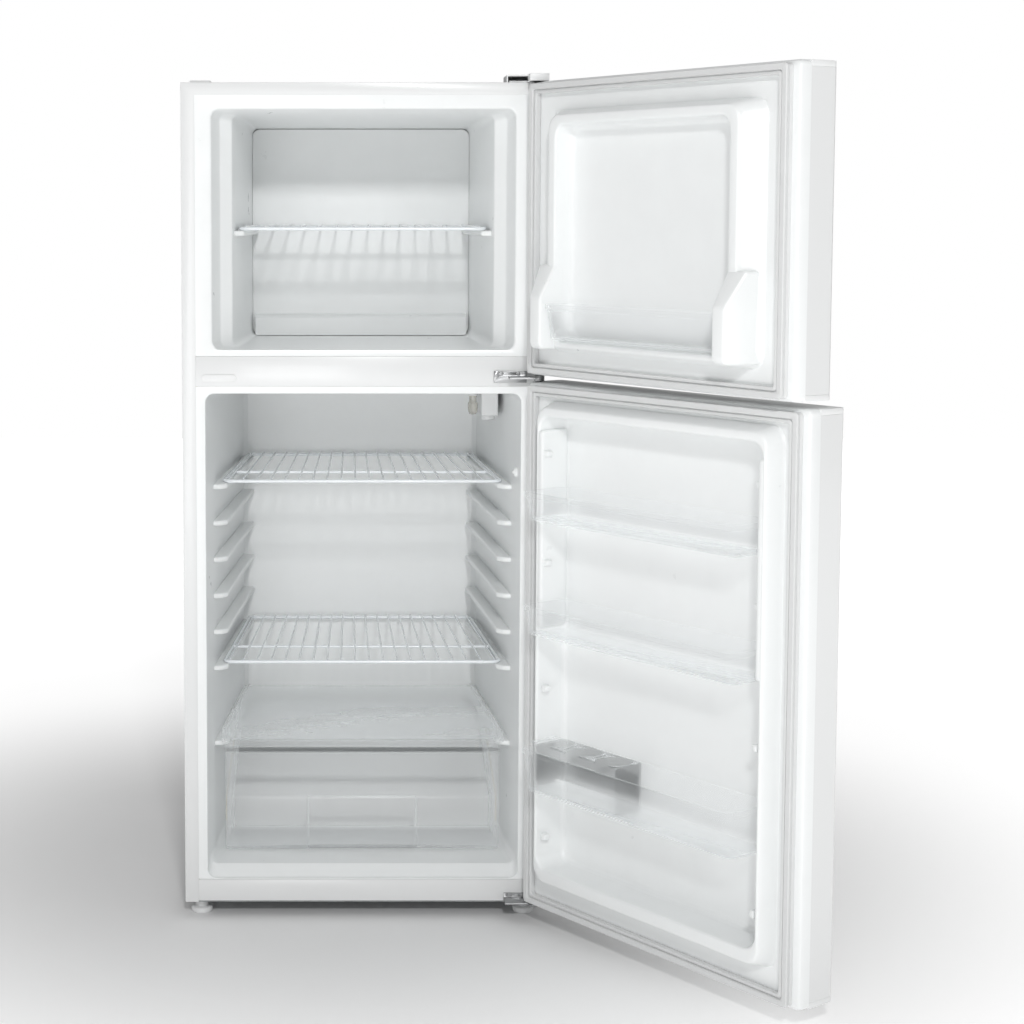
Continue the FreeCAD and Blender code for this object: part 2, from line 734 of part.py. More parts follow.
def make_front_feet():
    """Levelling feet: a wide pad, a grip and a threaded stud."""
    r, stud = cell("foot_radius"), cell("stud_radius")
    profile = [
        (0, 0), (r - 2, 0), (r, 2), (r, 9), (r - 4, 11), (r - 7, 12), (r - 7, LOW - 1),
        (stud, LOW - 1), (stud, LOW + 18), (0, LOW + 18),
    ]
    for name, side in (("left", -1), ("right", 1)):
        centre = (cell("foot_x") * side, FRONT + cell("foot_deep"), 0)
        keep(turned(f"front_{name}_foot", centre, profile), f"front_{name}_foot")


def make_rear_rollers():
    """Small wheels at the back, each on an axle between two cheeks."""
    r, wide = cell("roller_radius"), cell("roller_wide")
    y = FRONT + cell("roller_deep")
    brackets = []
    for name, side in (("left", -1), ("right", 1)):
        x = cell("roller_x") * side
        start = x - wide / 2
        profile = [
            (0, 3.2), (0, r - 1.2), (1.2, r), (wide - 1.2, r), (wide, r - 1.2), (wide, 3.2),
        ]
        wheel = turned(f"rear_{name}_roller", (start, y, r), profile, "XY_Plane", "H_Axis")
        keep(wheel, f"rear_{name}_roller")
        cheeks = [
            block(f"{name}_cheek_{i}", (x + at - 1, y - 11, r - 5), (x + at + 1, y + 11, LOW + 5))
            for i, at in enumerate((-10, 10))
        ]
        low_x, high_x = (x - 11, HALF - SKIN) if side > 0 else (SKIN - HALF, x + 11)
        top = block(f"{name}_roller_top", (low_x, y - 11, LOW + 4), (high_x, y + 11, LOW + 6))
        axle = rod(f"{name}_axle", 3, 22, (x - 11, y, r), "x")
        brackets.append(fuse(f"{name}_roller_bracket", top, axle, *cheeks))
    keep(group("roller_brackets", *brackets), "roller_brackets")


# -------------------------------------------------------- machine compartment

POT_X, POT_DEEP, POT_RADIUS = -70, 498, 76
TRAY_Z = 37


def make_compressor():
    """A domed steel pot on a foot plate, with its terminal box."""
    y = FRONT + POT_DEEP
    r = POT_RADIUS
    profile = [
        (0, 0), (r - 22, 0), (r - 6, 8), (r, 22), (r, 78), (r + 3, 80), (r + 3, 84), (r, 86),
        (r - 2, 110), (r - 12, 128), (r - 34, 138), (0, 141),
    ]
    pot = turned("pot", (POT_X, y, TRAY_Z + 18), profile)
    foot = block("pot_foot", (POT_X - 95, y - 52, TRAY_Z + 15), (POT_X + 95, y + 52, TRAY_Z + 21))
    terminal = block("terminal_box", (POT_X + 60, y - 24, TRAY_Z + 50), (POT_X + 104, y + 24, TRAY_Z + 112))
    keep(fuse("compressor", pot, foot, terminal), "compressor")
    grommets = [
        rod(f"grommet_{i}", 11, 14.8, (POT_X + dx, y + dy, TRAY_Z + 0.1))
        for i, (dx, dy) in enumerate(((-82, -40), (82, -40), (-82, 40), (82, 40)))
    ]
    keep(group("compressor_grommets", *grommets), "compressor_grommets")
    low = (SKIN - HALF, y - 70, TRAY_Z - 3)
    tray = block("tray_sheet", low, (HALF - SKIN, y + 70, TRAY_Z))
    lip = block("tray_lip", low, (HALF - SKIN, y - 68, TRAY_Z + 12))
    keep(fuse("compressor_tray", tray, lip), "compressor_tray")


def make_drip_tray():
    """The pan over the compressor where defrost water dries."""
    y = FRONT + POT_DEEP
    low = TRAY_Z + 162
    outer = block("drip_outer", (POT_X - 78, y - 56, low), (POT_X + 78, y + 56, low + 13))
    inner = block("drip_inner", (POT_X - 76, y - 54, low + 2), (POT_X + 76, y + 54, low + 14))
    keep(cut("drip_tray", outer, inner), "drip_tray")


COIL_RUNS, COIL_LOW, COIL_STEP, COIL_HALF, COIL_OUT, COIL_WIRES = 14, 262, 80, 236, 24, 17


def make_condenser():
    """A zigzag tube behind the cabinet with upright wires on both its sides."""
    y = float(BACK) + COIL_OUT
    radius, wire = 2.4, 0.8
    points = []
    for run in range(COIL_RUNS):
        z = COIL_LOW + COIL_STEP * run
        ends = (-COIL_HALF, COIL_HALF) if run % 2 == 0 else (COIL_HALF, -COIL_HALF)
        points += [(x, y, z) for x in ends]
    coil = tube_along(points, radius, 24)
    top = COIL_LOW + COIL_STEP * (COIL_RUNS - 1)
    solids = [coil]
    for i in range(COIL_WIRES + 1):
        x = -COIL_HALF + 12 + (COIL_HALF * 2 - 24) * i / COIL_WIRES
        for side in (-1, 1):
            base = Vec(x, y + side * (radius + wire), COIL_LOW - 20)
            solids.append(Part.makeCylinder(wire, top - COIL_LOW + 40, base))
    keep(feature("condenser_coil", Part.makeCompound(solids)), "condenser_coil")
    clips = []
    for i, (x, run) in enumerate(((-1, 1), (1, 1), (-1, COIL_RUNS - 2), (1, COIL_RUNS - 2))):
        z = COIL_LOW + COIL_STEP * run
        middle = x * (COIL_HALF - 60)
        foot = block(f"clip_foot_{i}", (middle - 9, BACK, z - 16), (middle + 9, BACK + 2, z + 16))
        arm = block(f"clip_arm_{i}", (middle - 9, BACK, z - 7), (middle + 9, BACK + COIL_OUT - 4.2, z - 5))
        clips.append(fuse(f"clip_{i}", foot, arm))
    keep(group("condenser_clips", *clips), "condenser_clips")


def make_refrigerant_lines():
    """The discharge pipe up to the coil and the suction pipe into the cabinet."""
    y = at_depth(POT_DEEP)
    coil_y = float(BACK) + COIL_OUT
    discharge = tube_along(
        [(POT_X - 74, y, TRAY_Z + 110), (-262, y, TRAY_Z + 110), (-262, coil_y, TRAY_Z + 110),
         (-262, coil_y, COIL_LOW), (-COIL_HALF, coil_y, COIL_LOW)],
        3, 12,
    )
    suction = tube_along(
        [(POT_X + 50, y + 61, TRAY_Z + 90), (POT_X + 100, y + 61, TRAY_Z + 90),
         (POT_X + 100, y + 61, 214.9)],
        4, 14,
    )
    keep(feature("refrigerant_lines", Part.makeCompound([discharge, suction])), "refrigerant_lines")


def make_power_inlet():
    """The gland where the mains lead enters, low on the back."""
    base = block("gland_base", (196, BACK, 236), (228, BACK + 4, 262))
    neck = rod("gland_neck", 8, 14, (212, BACK + 2, 249), "y")
    bore = rod("gland_bore", 4, 16, (212, BACK + 5, 249), "y")
    keep(cut("power_inlet", fuse("gland", base, neck), bore), "power_inlet")


# ------------------------------------------------------- freezer air circuit

PANEL_DEEP = 404


def make_freezer_back_cover():
    """A flat panel in front of the cooling coil, with a raised ledge at its foot."""
    low = float(cell("freezer_low")) + 1
    face = tapered([
        (at_depth(PANEL_DEEP), 206, low, 1346, 10), (at_depth(PANEL_DEEP + 3), 206, low, 1346, 10),
    ])
    ledge = prism(
        [(at_depth(PANEL_DEEP + 1), low), (at_depth(PANEL_DEEP - 22), low),
         (at_depth(PANEL_DEEP - 22), low + 32), (at_depth(PANEL_DEEP - 17), low + 37),
         (at_depth(PANEL_DEEP + 1), low + 39)],
        "x", -194, 194,
    )
    shape = face.fuse(ledge).common(freezer_cavity(-0.3)).removeSplitter()
    keep(feature("freezer_back_cover", shape), "freezer_back_cover")


FAN = (0, 1246)
FAN_DEEP = 432


def make_evaporator():
    """Finned tubes behind the freezer's back panel."""
    fins = [
        box_solid((-150 + 12 * i, at_depth(412), 1000), (-149.4 + 12 * i, at_depth(444), 1130))
        for i in range(26)
    ]
    tubes = [
        Part.makeCylinder(4, 320, Vec(-160, at_depth(420 + 16 * (i % 2)), 1014 + 20 * i), Vec(1, 0, 0))
        for i in range(6)
    ]
    whole = tubes[0].multiFuse([*tubes[1:], *fins])
    keep(feature("evaporator", whole), "evaporator")


def make_evaporator_fan():
    """A small motor on a cross bar, and its three-bladed rotor."""
    x, z = FAN
    bar = block("fan_bar", (x - 90, FRONT + FAN_DEEP + 11, z - 9), (x + 90, FRONT + FAN_DEEP + 13, z + 9))
    can = rod("fan_can", 17, 9, (x, FRONT + FAN_DEEP + 3, z), "y")
    shaft = rod("fan_shaft", 1.5, 16, (x, FRONT + FAN_DEEP - 12, z), "y")
    keep(fuse("fan_motor", bar, can, shaft), "fan_motor")
    hub = Part.makeCylinder(11, 11, Vec(x, at_depth(FAN_DEEP - 10), z), Vec(0, 1, 0))
    hub = hub.cut(Part.makeCylinder(1.55, 20, Vec(x, at_depth(FAN_DEEP - 14), z), Vec(0, 1, 0)))
    for turn in range(3):
        blade = box_solid((x + 8, at_depth(FAN_DEEP - 6), z - 13), (x + 42, at_depth(FAN_DEEP - 4), z + 13))
        blade.rotate(Vec(x, at_depth(FAN_DEEP - 5), z), Vec(1, 0, 0), 18)
        blade.rotate(Vec(x, 0, z), Vec(0, 1, 0), 120 * turn)
        hub = hub.fuse(blade)
    bore = Part.makeCylinder(1.55, 40, Vec(x, at_depth(FAN_DEEP - 30), z), Vec(0, 1, 0))
    keep(feature("evaporator_fan", hub.cut(bore).removeSplitter()), "evaporator_fan")


# -------------------------------------------------------- fridge fittings


def make_thermostat():
    """The control box in the upper right corner, with a dial under it."""
    top = float(cell("fridge_high")) - 9
    line = [(209, at_depth(182)), (238, at_depth(182)), (238, at_depth(338)), (209, at_depth(338))]
    case = prism(line, "z", 834, top).common(fridge_cavity(-0.4))
    edges = [e for e in case.Edges if abs(e.BoundBox.YMax - at_depth(182)) < 0.1
             and e.BoundBox.YLength < 0.1]
    case = case.makeFillet(2.5, edges)
    hole = Part.makeCylinder(2.05, 12, Vec(222, at_depth(212), 830))
    keep(feature("thermostat_housing", case.cut(hole)), "thermostat_housing")
    profile = [(0, 0), (11, 0), (12, 1), (12, 7), (11, 8), (2, 8), (2, 15), (0, 15)]
    dial = turned("dial_round", (222, FRONT + 212, 825.4), profile)
    mark = block("dial_mark", (221, FRONT + 201, 824.4), (223, FRONT + 213, 826))
    keep(fuse("thermostat_dial", dial, mark), "thermostat_dial")


def make_lamp():
    """A bare bulb in a holder let into the fridge's ceiling."""
    x, y = LAMP
    profile = [(0, 0), (6, 1.5), (8.4, 6), (9, 12), (8.6, 20), (6.6, 24), (6.6, 34), (0, 34)]
    keep(turned("lamp_bulb", (x, y, 831), profile), "lamp_bulb")
    profile = [(0, 0.3), (8.6, 0.3), (8.6, 22), (0, 22)]
    keep(turned("lamp_holder", (x, y, 865), profile), "lamp_holder")


def make_light_switch():
    """The plunger on the right wall, which the shutting door would press."""
    y, z = SWITCH
    inner = fridge_wall(46) - 7
    profile = [(0, 0), (0, 2.6), (1.4, 4.1), (20, 4.1), (20, 0)]
    button = turned("light_switch_button", (inner, y, z), profile, "XY_Plane", "H_Axis")
    keep(button, "light_switch_button")


# ------------------------------------------------------- shelves and crisper


def wire_shelf(name, top, ends, halves, pitch, bars, drop):
    """A plated wire shelf: a bent frame, stout cross bars and thin wires on top.

    ends holds the front and back depths, halves the half widths there, and
    bars the depths of the extra cross bars. drop bends the front wire down.
    """
    frame_r, wire_r = float(cell("frame_wire")), float(cell("cross_wire"))
    z = top - 2 * wire_r - frame_r
    near, far = at_depth(ends[0]), at_depth(ends[1])
    near_half, far_half = halves
    lean = (near_half - far_half) / (far - near)
    corner = 16

    def half_at(y):
        return near_half - lean * (y - near)

    loop = [(0, near, z), (near_half, near, z), (far_half, far, z), (-far_half, far, z),
            (-near_half, near, z), (0, near, z)]
    solids = [tube_along(loop[:4], frame_r, corner),
              tube_along([loop[3], loop[4], loop[5]], frame_r, corner)]
    shape = solids[0].fuse(solids[1])
    for depth in bars:
        y = at_depth(depth)
        reach = half_at(y) - 0.5
        shape = shape.fuse(Part.makeCylinder(frame_r * 0.8, reach * 2, Vec(-reach, y, z), Vec(1, 0, 0)))
    count = int(near_half * 2 / pitch)
    wire_z = z + frame_r + wire_r - 0.7
    wires = []
    for i in range(count + 1):
        share = (i - count / 2) / (count / 2)
        start = share * (near_half - 10)
        end = share * (far_half - 8)
        path = [(start, near - 0.6, wire_z - drop), (start, near + 9, wire_z), (end, far + 1, wire_z)]
        wires.append(tube_along(path, wire_r, 5))
    return shape.multiFuse(wires)


def make_shelves():
    """The freezer's shelf and the fridge's two, all of welded wire."""
    halves = (float(cell("shelf_front_half")), float(cell("shelf_back_half")))
    ends = (float(cell("shelf_front")), float(cell("shelf_back")))
    tops = support_tops()
    pitch = float(cell("wire_pitch"))
    for name, level in (("upper_fridge_shelf", 0), ("lower_fridge_shelf", 5)):
        top = tops[level] + 0.3 + 9
        shelf = wire_shelf(name, top, ends, halves, pitch, (236,), 2.6)
        keep(feature(name, shelf), name)
    halves = (float(cell("freezer_shelf_half")), float(cell("freezer_shelf_back_half")))
    ends = (float(cell("freezer_shelf_front")), float(cell("freezer_shelf_back")))
    top = float(cell("freezer_shelf_top")) + 0.6
    shelf = wire_shelf("freezer_shelf", top, ends, halves, float(cell("freezer_wire_pitch")), (250,), 2.6)
    keep(feature("freezer_shelf", shelf), "freezer_shelf")


def make_crisper_cover():
    """A clear sheet with a front bar and raised side rails."""
    near, far = float(cell("cover_front")), float(cell("cover_back"))
    top, thick = float(cell("cover_top")), float(cell("cover_thick"))
    a, b, c = 244, fridge_wall(150) - 4, fridge_wall(far) - 4
    line = [(a, near), (a, near + 40), (b, 150), (c, far), (-c, far), (-b, 150), (-a, near + 40),
            (-a, near)]
    sheet_part = prism([(x, at_depth(d)) for x, d in line], "z", top - thick, top)
    bar = prism(
        [(at_depth(near), top - 8), (at_depth(near + 2.6), top - 8),
         (at_depth(near + 2.6), top + 1.5), (at_depth(near), top + 1.5)],
        "x", -222, 222,
    )
    whole = sheet_part.fuse(bar)
    for side in (-1, 1):
        rail = [(side * (a - 7), near), (side * (a - 7), near + 40), (side * (b - 7), 150),
                (side * (c - 7), far), (side * (c - 9.5), far), (side * (b - 9.5), 150),
                (side * (a - 9.5), near + 40), (side * (a - 9.5), near)]
        whole = whole.fuse(prism([(x, at_depth(d)) for x, d in rail], "z", top - 1, top + 4))
    keep(feature("crisper_cover", whole.removeSplitter()), "crisper_cover")


def drawer_block(grow):
    """The crisper's outside, or with a wall taken off, its inside."""
    half = float(cell("drawer_half"))
    low, high = float(cell("drawer_low")), float(cell("drawer_high"))
    near = float(cell("drawer_front"))
    profile = [
        (at_depth(near + grow), low + grow), (at_depth(222 - grow), low + grow),
        (at_depth(222 - grow), 150 + grow * 0.4), (at_depth(368 - grow * 0.6), 252 + grow),
        (at_depth(452 - grow), 256 + grow), (at_depth(452 - grow), high + grow * 8),
        (at_depth(near + grow), high + grow * 8),
    ]
    solid = prism(profile, "x", -half, half)
    lean = (half - 216) / 360
    side = [
        (half - grow, near - 5), (half - grow, near + 20), (half - grow - 432 * lean * 0.84, 452 + 5),
        (-(half - grow - 432 * lean * 0.84), 452 + 5), (-(half - grow), near + 20),
        (-(half - grow), near - 5),
    ]
    plan = prism([(x, at_depth(d)) for x, d in side], "z", low - 5, high + 40)
    return solid.common(plan)


def make_crisper_drawer():
    """A clear bin whose back leans over the compressor hump."""
    t = float(CLEAR)
    near = at_depth(float(cell("drawer_front")))
    low, high = float(cell("drawer_low")), float(cell("drawer_high"))
    half = float(cell("drawer_half"))
    recess = box_solid((-94, near - 1, low + 4), (94, near + 14, low + 92))
    behind = box_solid((-94 - t, near - 1, low), (94 + t, near + 14 + t, low + 92 + t))
    outer = drawer_block(0).cut(recess)
    inner = drawer_block(t).cut(behind)
    lip = box_solid((-half, near - 7, high - 8), (half, near + 1, high))
    whole = outer.cut(inner).fuse(lip)
    keep(feature("crisper_drawer", whole.removeSplitter()), "crisper_drawer")


# -------------------------------------------------------------------- doors

DOORS = {
    # half widths and the heights of the dyke's and the recess's ends, how far the dyke
    # stands in past the cabinet's front, and how deep the recess's floor lies
    "freezer": {
        "dyke_half": 236, "recess_half": 195, "dyke_low": 970, "dyke_high": 1346,
        "recess_low": 984, "recess_high": 1326, "dyke_out": 18, "floor_deep": 4,
    },
    "fridge": {
        "dyke_half": 250, "recess_half": 231, "dyke_low": 90, "dyke_high": 880,
        "recess_low": 116, "recess_high": 861, "dyke_out": 16, "floor_deep": 30,
    },
}
ARM_OUT, ARM_SHOULDER, ARM_TOP = 47, 1054, 1106
BINS = {
    # name: (door, half width, bottom, rim, how far it stands out behind the front plane)
    "freezer_door_bin": ("freezer", 192, 988, 1044, 44),
    "upper_door_bin": ("fridge", 228, 697, 744, 60),
    "middle_door_bin": ("fridge", 228, 512, 559, 60),
    "lower_door_bin": ("fridge", 228, 256, 326, 60),
}
LUG_HEIGHTS = {"freezer": [], "fridge": [168, 415, 622, 800]}


def door_ends(door):
    return cell(f"{door}_door_low"), cell(f"{door}_door_high")


def make_door_panel(door):
    """The outer steel pan: a face with both long sides folded back."""
    low, high = door_ends(door)
    cap = cell("cap_high")
    width, deep = cell("door_width"), RIM_OUTER - DOOR_OUTER
    points = [
        (0, 0), (width, 0), (width, deep), (width - SKIN, deep), (width - SKIN, SKIN),
        (SKIN, SKIN), (SKIN, deep), (0, deep),
    ]
    owner = plate(f"{door}_door_panel", "XY_Plane", (-width / 2, DOOR_OUTER), low + cap,
                  high - low - cap * 2, points)
    outer, inner = float(DOOR_OUTER), float(DOOR_OUTER + SKIN)

    def outside(edge):
        at = edge.Vertexes[0].Point
        return upright(edge) and abs(at.y - outer) < 1e-6

    def inside(edge):
        at = edge.Vertexes[0].Point
        return upright(edge) and abs(at.y - inner) < 1e-6

    round_edges(owner, f"{door}_outer_round", cell("panel_round"), outside)
    round_edges(owner, f"{door}_inner_round", cell("panel_round") - SKIN, inside)
    keep(owner, f"{door}_door_panel", door)


def make_door_caps(door):
    """The moulded caps that close the pan at its top and bottom."""
    low, high = door_ends(door)
    cap = cell("cap_high")
    width = cell("door_width")
    solids = []
    for name, start in (("bottom", low), ("top", high - cap)):
        owner = plate(
            f"{door}_{name}_cap", "XY_Plane", (-width / 2, DOOR_OUTER), start, cap,
            [(0, 0), (width, 0), (width, RIM_OUTER - DOOR_OUTER), (0, RIM_OUTER - DOOR_OUTER)],
        )
        outer = float(DOOR_OUTER)
        round_edges(owner, f"{door}_{name}_cap_round", cell("panel_round"),
                    lambda e: upright(e) and abs(e.Vertexes[0].Point.y - outer) < 1e-6)
        bore = rod(f"{door}_{name}_cap_bore", cell("bush_radius") + 0.05, cap + 2,
                   (HINGE_X, HINGE_Y, start - 1))
        solids.append(cut(f"{door}_{name}_cap_cut", owner, bore))
    keep(group(f"{door}_door_caps", *solids), f"{door}_door_caps", door)


def liner_solid(door, t):
    """The door liner's outside, or with a wall t taken off, the foam under it."""
    spec = DOORS[door]
    low, high = (float(v) for v in door_ends(door))
    inner, rim = float(DOOR_INNER), float(RIM_OUTER)
    r = 10
    slab = tapered([
        (rim, 300 - t, low + t, high - t, 3), (inner - 7, 300 - t, low + t, high - t, 5),
        (inner - 2, 298.5 - t, low + 1.5 + t, high - 1.5 - t, 7),
        (inner - t, 294 - t, low + 6 + t, high - 6 - t, 9),
    ])
    tip = front + spec["dyke_out"]
    half, a, b = spec["dyke_half"] - t, spec["dyke_low"] + t, spec["dyke_high"] - t
    dyke = tapered([
        (inner - 3, half + 5, a - 4, b + 4, r + 4), (inner + 4, half + 3, a - 2, b + 2, r + 4),
        (tip - 8, half, a, b, r + 6), (tip - 2 - t, half - 2.5, a + 2.5, b - 2.5, r + 4),
        (tip - t, half - 7, a + 7, b - 7, r),
    ])
    floor = inner - spec["floor_deep"] - t
    wide = spec["recess_half"] + t
    ends = (spec["recess_low"] - t, spec["recess_high"] + t)
    recess = tapered([
        (floor, wide - 4, ends[0] + 4, ends[1] - 4, r), (floor + 8, wide - 1, ends[0], ends[1], r),
        (tip + 5, wide + 1, ends[0] - 1, ends[1] + 1, r),
    ])
    whole = slab.fuse(dyke).cut(recess)
    if door == "freezer":
        for side in (-1, 1):
            whole = whole.fuse(bin_arm(side, t))
    return whole


def bin_arm(side, t):
    """The part of the freezer door's dyke that stands further in, beside its bin."""
    spec = DOORS["freezer"]
    base, tip = float(DOOR_INNER) - 6, front + ARM_OUT - t
    low = spec["dyke_low"] + 2 + t
    outline = [
        (base, low), (tip - 6, low), (tip, low + 8), (tip, ARM_SHOULDER - t / 2),
        (front + spec["dyke_out"] - 2, ARM_TOP - t), (base, ARM_TOP - t),
    ]
    inner_x, outer_x = spec["recess_half"] + 1 + t, spec["dyke_half"] - t
    plan = [
        (side * inner_x, base), (side * outer_x, base), (side * (outer_x - 14), tip),
        (side * inner_x, tip),
    ]
    return prism(outline, "x", -260, 260).common(prism(plan, "z", low - 5, ARM_TOP + 5))


def make_door_liner(door):
    """The thermoformed inner skin: rim, raised dyke, recess and bin lugs."""
    spec = DOORS[door]
    shell = liner_solid(door, 0).cut(liner_solid(door, wall))
    lugs = []
    inner = float(DOOR_INNER)
    for side in (-1, 1):
        for z in LUG_HEIGHTS[door]:
            lugs.append(box_solid(*span(side * 224, side * 231.6, inner + 12, inner + 24,
                                        z - 6, z + 6)))
        for other, half, bottom, _, _ in BINS.values():
            if other != door:
                continue
            # a peg on the side wall, or a pad on the recess's lower wall where that is near
            foot = max(bottom - 8.3, spec["recess_low"] - 1)
            on_wall = foot < bottom - 8
            near, far = (half - 5, spec["recess_half"] + 0.4) if on_wall else (150, 180)
            lugs.append(box_solid(*span(side * near, side * far, inner + 6, inner + 26,
                                        foot, bottom - 0.3)))
    for lug in lugs:
        shell = shell.fuse(lug)
    low, high = (float(v) for v in door_ends(door))
    for z in (low - 1, high - 24):
        shell = shell.cut(Part.makeCylinder(float(cell("bush_radius")) + 0.05, 25,
                                            Vec(float(HINGE_X), float(HINGE_Y), z)))
    keep(feature(f"{door}_door_liner", shell.removeSplitter()), f"{door}_door_liner", door)


def span(x0, x1, y0, y1, z0, z1):
    """Low and high corners from two ends along each axis, in any order."""
    low = (min(x0, x1), min(y0, y1), min(z0, z1))
    high = (max(x0, x1), max(y0, y1), max(z0, z1))
    return low, high


def make_door_foam(door):
    """Foam between the steel pan and the liner."""
    low, high = (float(v) for v in door_ends(door))
    gap, cap, skin = 0.2, float(cell("cap_high")), float(SKIN)
    outer, rim = float(DOOR_OUTER), float(RIM_OUTER)
    in_pan = rounded_block(300 - skin - gap, low + cap + gap, high - cap - gap, 1, outer + 9, rim)
    near = rounded_block(292, low + cap + gap, high - cap - gap, 1, outer + skin + gap, outer + 9)
    foam = in_pan.fuse(near).fuse(liner_solid(door, wall + gap))
    for z in (low - 1, high - 30):
        foam = foam.cut(Part.makeCylinder(float(cell("bush_radius")) + 1, 31,
                                          Vec(float(HINGE_X), float(HINGE_Y), z)))
    keep(feature(f"{door}_door_foam", foam), f"{door}_door_foam", door)


def make_door_gasket(door):
    """The magnetic seal, a ring on the liner's rim that meets the cabinet."""
    low, high = door_ends(door)
    side, end, wide = cell("gasket_side"), cell("gasket_end"), cell("gasket_wide")
    half = cell("door_width") / 2 - side
    inner = DOOR_INNER + 0.05
    face = FRONT - 0.3
    owner = body(f"{door}_door_gasket")
    tall = high - low - end * 2
    outline = [(0, 0), (half * 2, 0), (half * 2, tall), (0, tall)]
    hole = [(wide, wide), (half * 2 - wide, wide), (half * 2 - wide, tall - wide), (wide, tall - wide)]
    lines = sketch(owner, f"{door}_gasket_lines", "XZ_Plane", (-half, low + end), inner, [outline, hole])
    pad(owner, f"{door}_gasket_pad", lines, face - inner, True)
    keep(owner, f"{door}_door_gasket", door)


def make_door_bushes(door):
    """Plastic bushes in the caps that run on the hinge pins."""
    low, high = door_ends(door)
    solids = []
    for name, base in (("bottom", low), ("top", high - 20)):
        outer = rod(f"{door}_{name}_bush_outer", cell("bush_radius"), 20, (HINGE_X, HINGE_Y, base))
        bore = rod(f"{door}_{name}_bush_bore", cell("bush_bore"), 22, (HINGE_X, HINGE_Y, base - 1))
        solids.append(cut(f"{door}_{name}_bush", outer, bore))
    keep(group(f"{door}_door_bushes", *solids), f"{door}_door_bushes", door)


def make_door_handle(door):
    """A bow handle on the outer face, well in from the free edge."""
    low, high = (float(v) for v in door_ends(door))
    base = low + 26 if door == "freezer" else high - 266
    tall = 200 if door == "freezer" else 240
    outer = float(DOOR_OUTER)
    x = -226
    line = [
        (outer, base), (outer - 36, base + 26), (outer - 36, base + tall - 26), (outer, base + tall),
        (outer, base + tall - 22), (outer - 24, base + tall - 42), (outer - 24, base + 42),
        (outer, base + 22),
    ]
    bow = prism(line, "x", x - 13, x + 13)
    edges = [e for e in bow.Edges if e.BoundBox.XLength < 0.01 and e.BoundBox.YMin < outer - 1]
    keep(feature(f"{door}_door_handle", bow.makeFillet(4, edges)), f"{door}_door_handle", door)


def bin_profile(shape, out, drop):
    """Outline of a door bin seen from its end, as (y, z); drop lowers the back rim."""
    door, _, bottom, rim, tip = shape
    back = float(DOOR_INNER) - DOORS[door]["floor_deep"] + 9
    face = front + tip
    return [
        (back + out, bottom + out), (face - 6 - out, bottom + out), (face - out * 1.1, rim + drop),
        (back + out, rim + drop),
    ]


def make_door_bins():
    """Clear moulded bins that hang between the dyke's side walls."""
    t = float(CLEAR)
    for name, shape in BINS.items():
        door, half, bottom, rim, tip = shape
        outer = prism(bin_profile(shape, 0, 0), "x", -half, half)
        inner = prism(bin_profile(shape, t, 20), "x", t - half, half - t)
        face = front + tip
        lip = prism(
            [(face - 1.5, rim - 7), (face + 2.4, rim - 7), (face + 2.4, rim), (face - 1.5, rim)],
            "x", -half, half,
        )
        whole = outer.cut(inner).fuse(lip)
        keep(feature(name, whole.removeSplitter()), name, door)


def make_bottle_holder():
    """A clear insert in the lowest bin, scalloped to steady bottles and cans."""
    door, half, bottom, rim, tip = BINS["lower_door_bin"]
    t = float(CLEAR)
    back = float(DOOR_INNER) + 6
    low, high = bottom + t + 0.4, rim + 10
    x0, x1 = half - 8, half - 208
    face = front + tip - 14
    deck = box_solid(*span(x0, x1, back, face, high - 3, high))
    wide = (x0 - x1) / 3
    for i in range(3):
        at = Vec(x0 - wide * (i + 0.5), (back + face) / 2, low - 5)
        deck = deck.cut(Part.makeCylinder(wide / 2 - 3, high - low + 20, at))
    legs = [
        box_solid(*span(x0, x0 - t, back, face, low, high)),
        box_solid(*span(x1 + t, x1, back, face, low, high)),
        box_solid(*span(x0, x1, back, back + t, low + 8, high)),
    ]
    for leg in legs:
        deck = deck.fuse(leg)
    keep(feature("bottle_holder", deck.removeSplitter()), "bottle_holder", door)


def make_door(door):
    make_door_panel(door)
    make_door_caps(door)
    make_door_liner(door)
    make_door_foam(door)
    make_door_gasket(door)
    make_door_bushes(door)
    make_door_handle(door)


# -------------------------------------------------------------------- build


def build():
    make_outer_cabinet_shell()
    make_rear_panel()
    make_base_pan()
    make_front_rails()
    make_freezer_liner()
    make_fridge_liner()
    make_insulation()
    make_hinge_hole_covers()
    make_top_hinge()
    make_top_hinge_cover()
    make_middle_hinge()
    make_bottom_hinge()
    make_hinge_screws()
    make_front_feet()
    make_rear_rollers()
    make_compressor()
    make_drip_tray()
    make_condenser()
    make_refrigerant_lines()
    make_power_inlet()
    make_freezer_back_cover()
    make_evaporator()
    make_evaporator_fan()
    make_thermostat()
    make_lamp()
    make_light_switch()
    make_shelves()
    make_crisper_cover()
    make_crisper_drawer()
    for door in DOORS:
        make_door(door)
    make_door_bins()
    make_bottle_holder()


def check_and_export():
    """Stop on any failed object or bad shape, then write one file per sub-part."""
    doc.recompute()
    for obj in doc.Objects:
        if "Invalid" in obj.State or "Error" in obj.State:
            raise RuntimeError(f"{obj.Label} failed: {obj.State}")
    for node, obj in NODES.items():
        if obj.Shape.isNull() or not obj.Shape.isValid() or not obj.Shape.Solids:
            raise RuntimeError(f"{node} has no valid solid")
    os.makedirs("parts", exist_ok=True)
    for node, obj in NODES.items():
        obj.Shape.exportStep(f"parts/{node}.step")
    print(f"{len(NODES)} sub-parts written")


build()
check_and_export()
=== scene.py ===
import json
import math

import bmesh
import bpy
from mathutils import Matrix, Vector


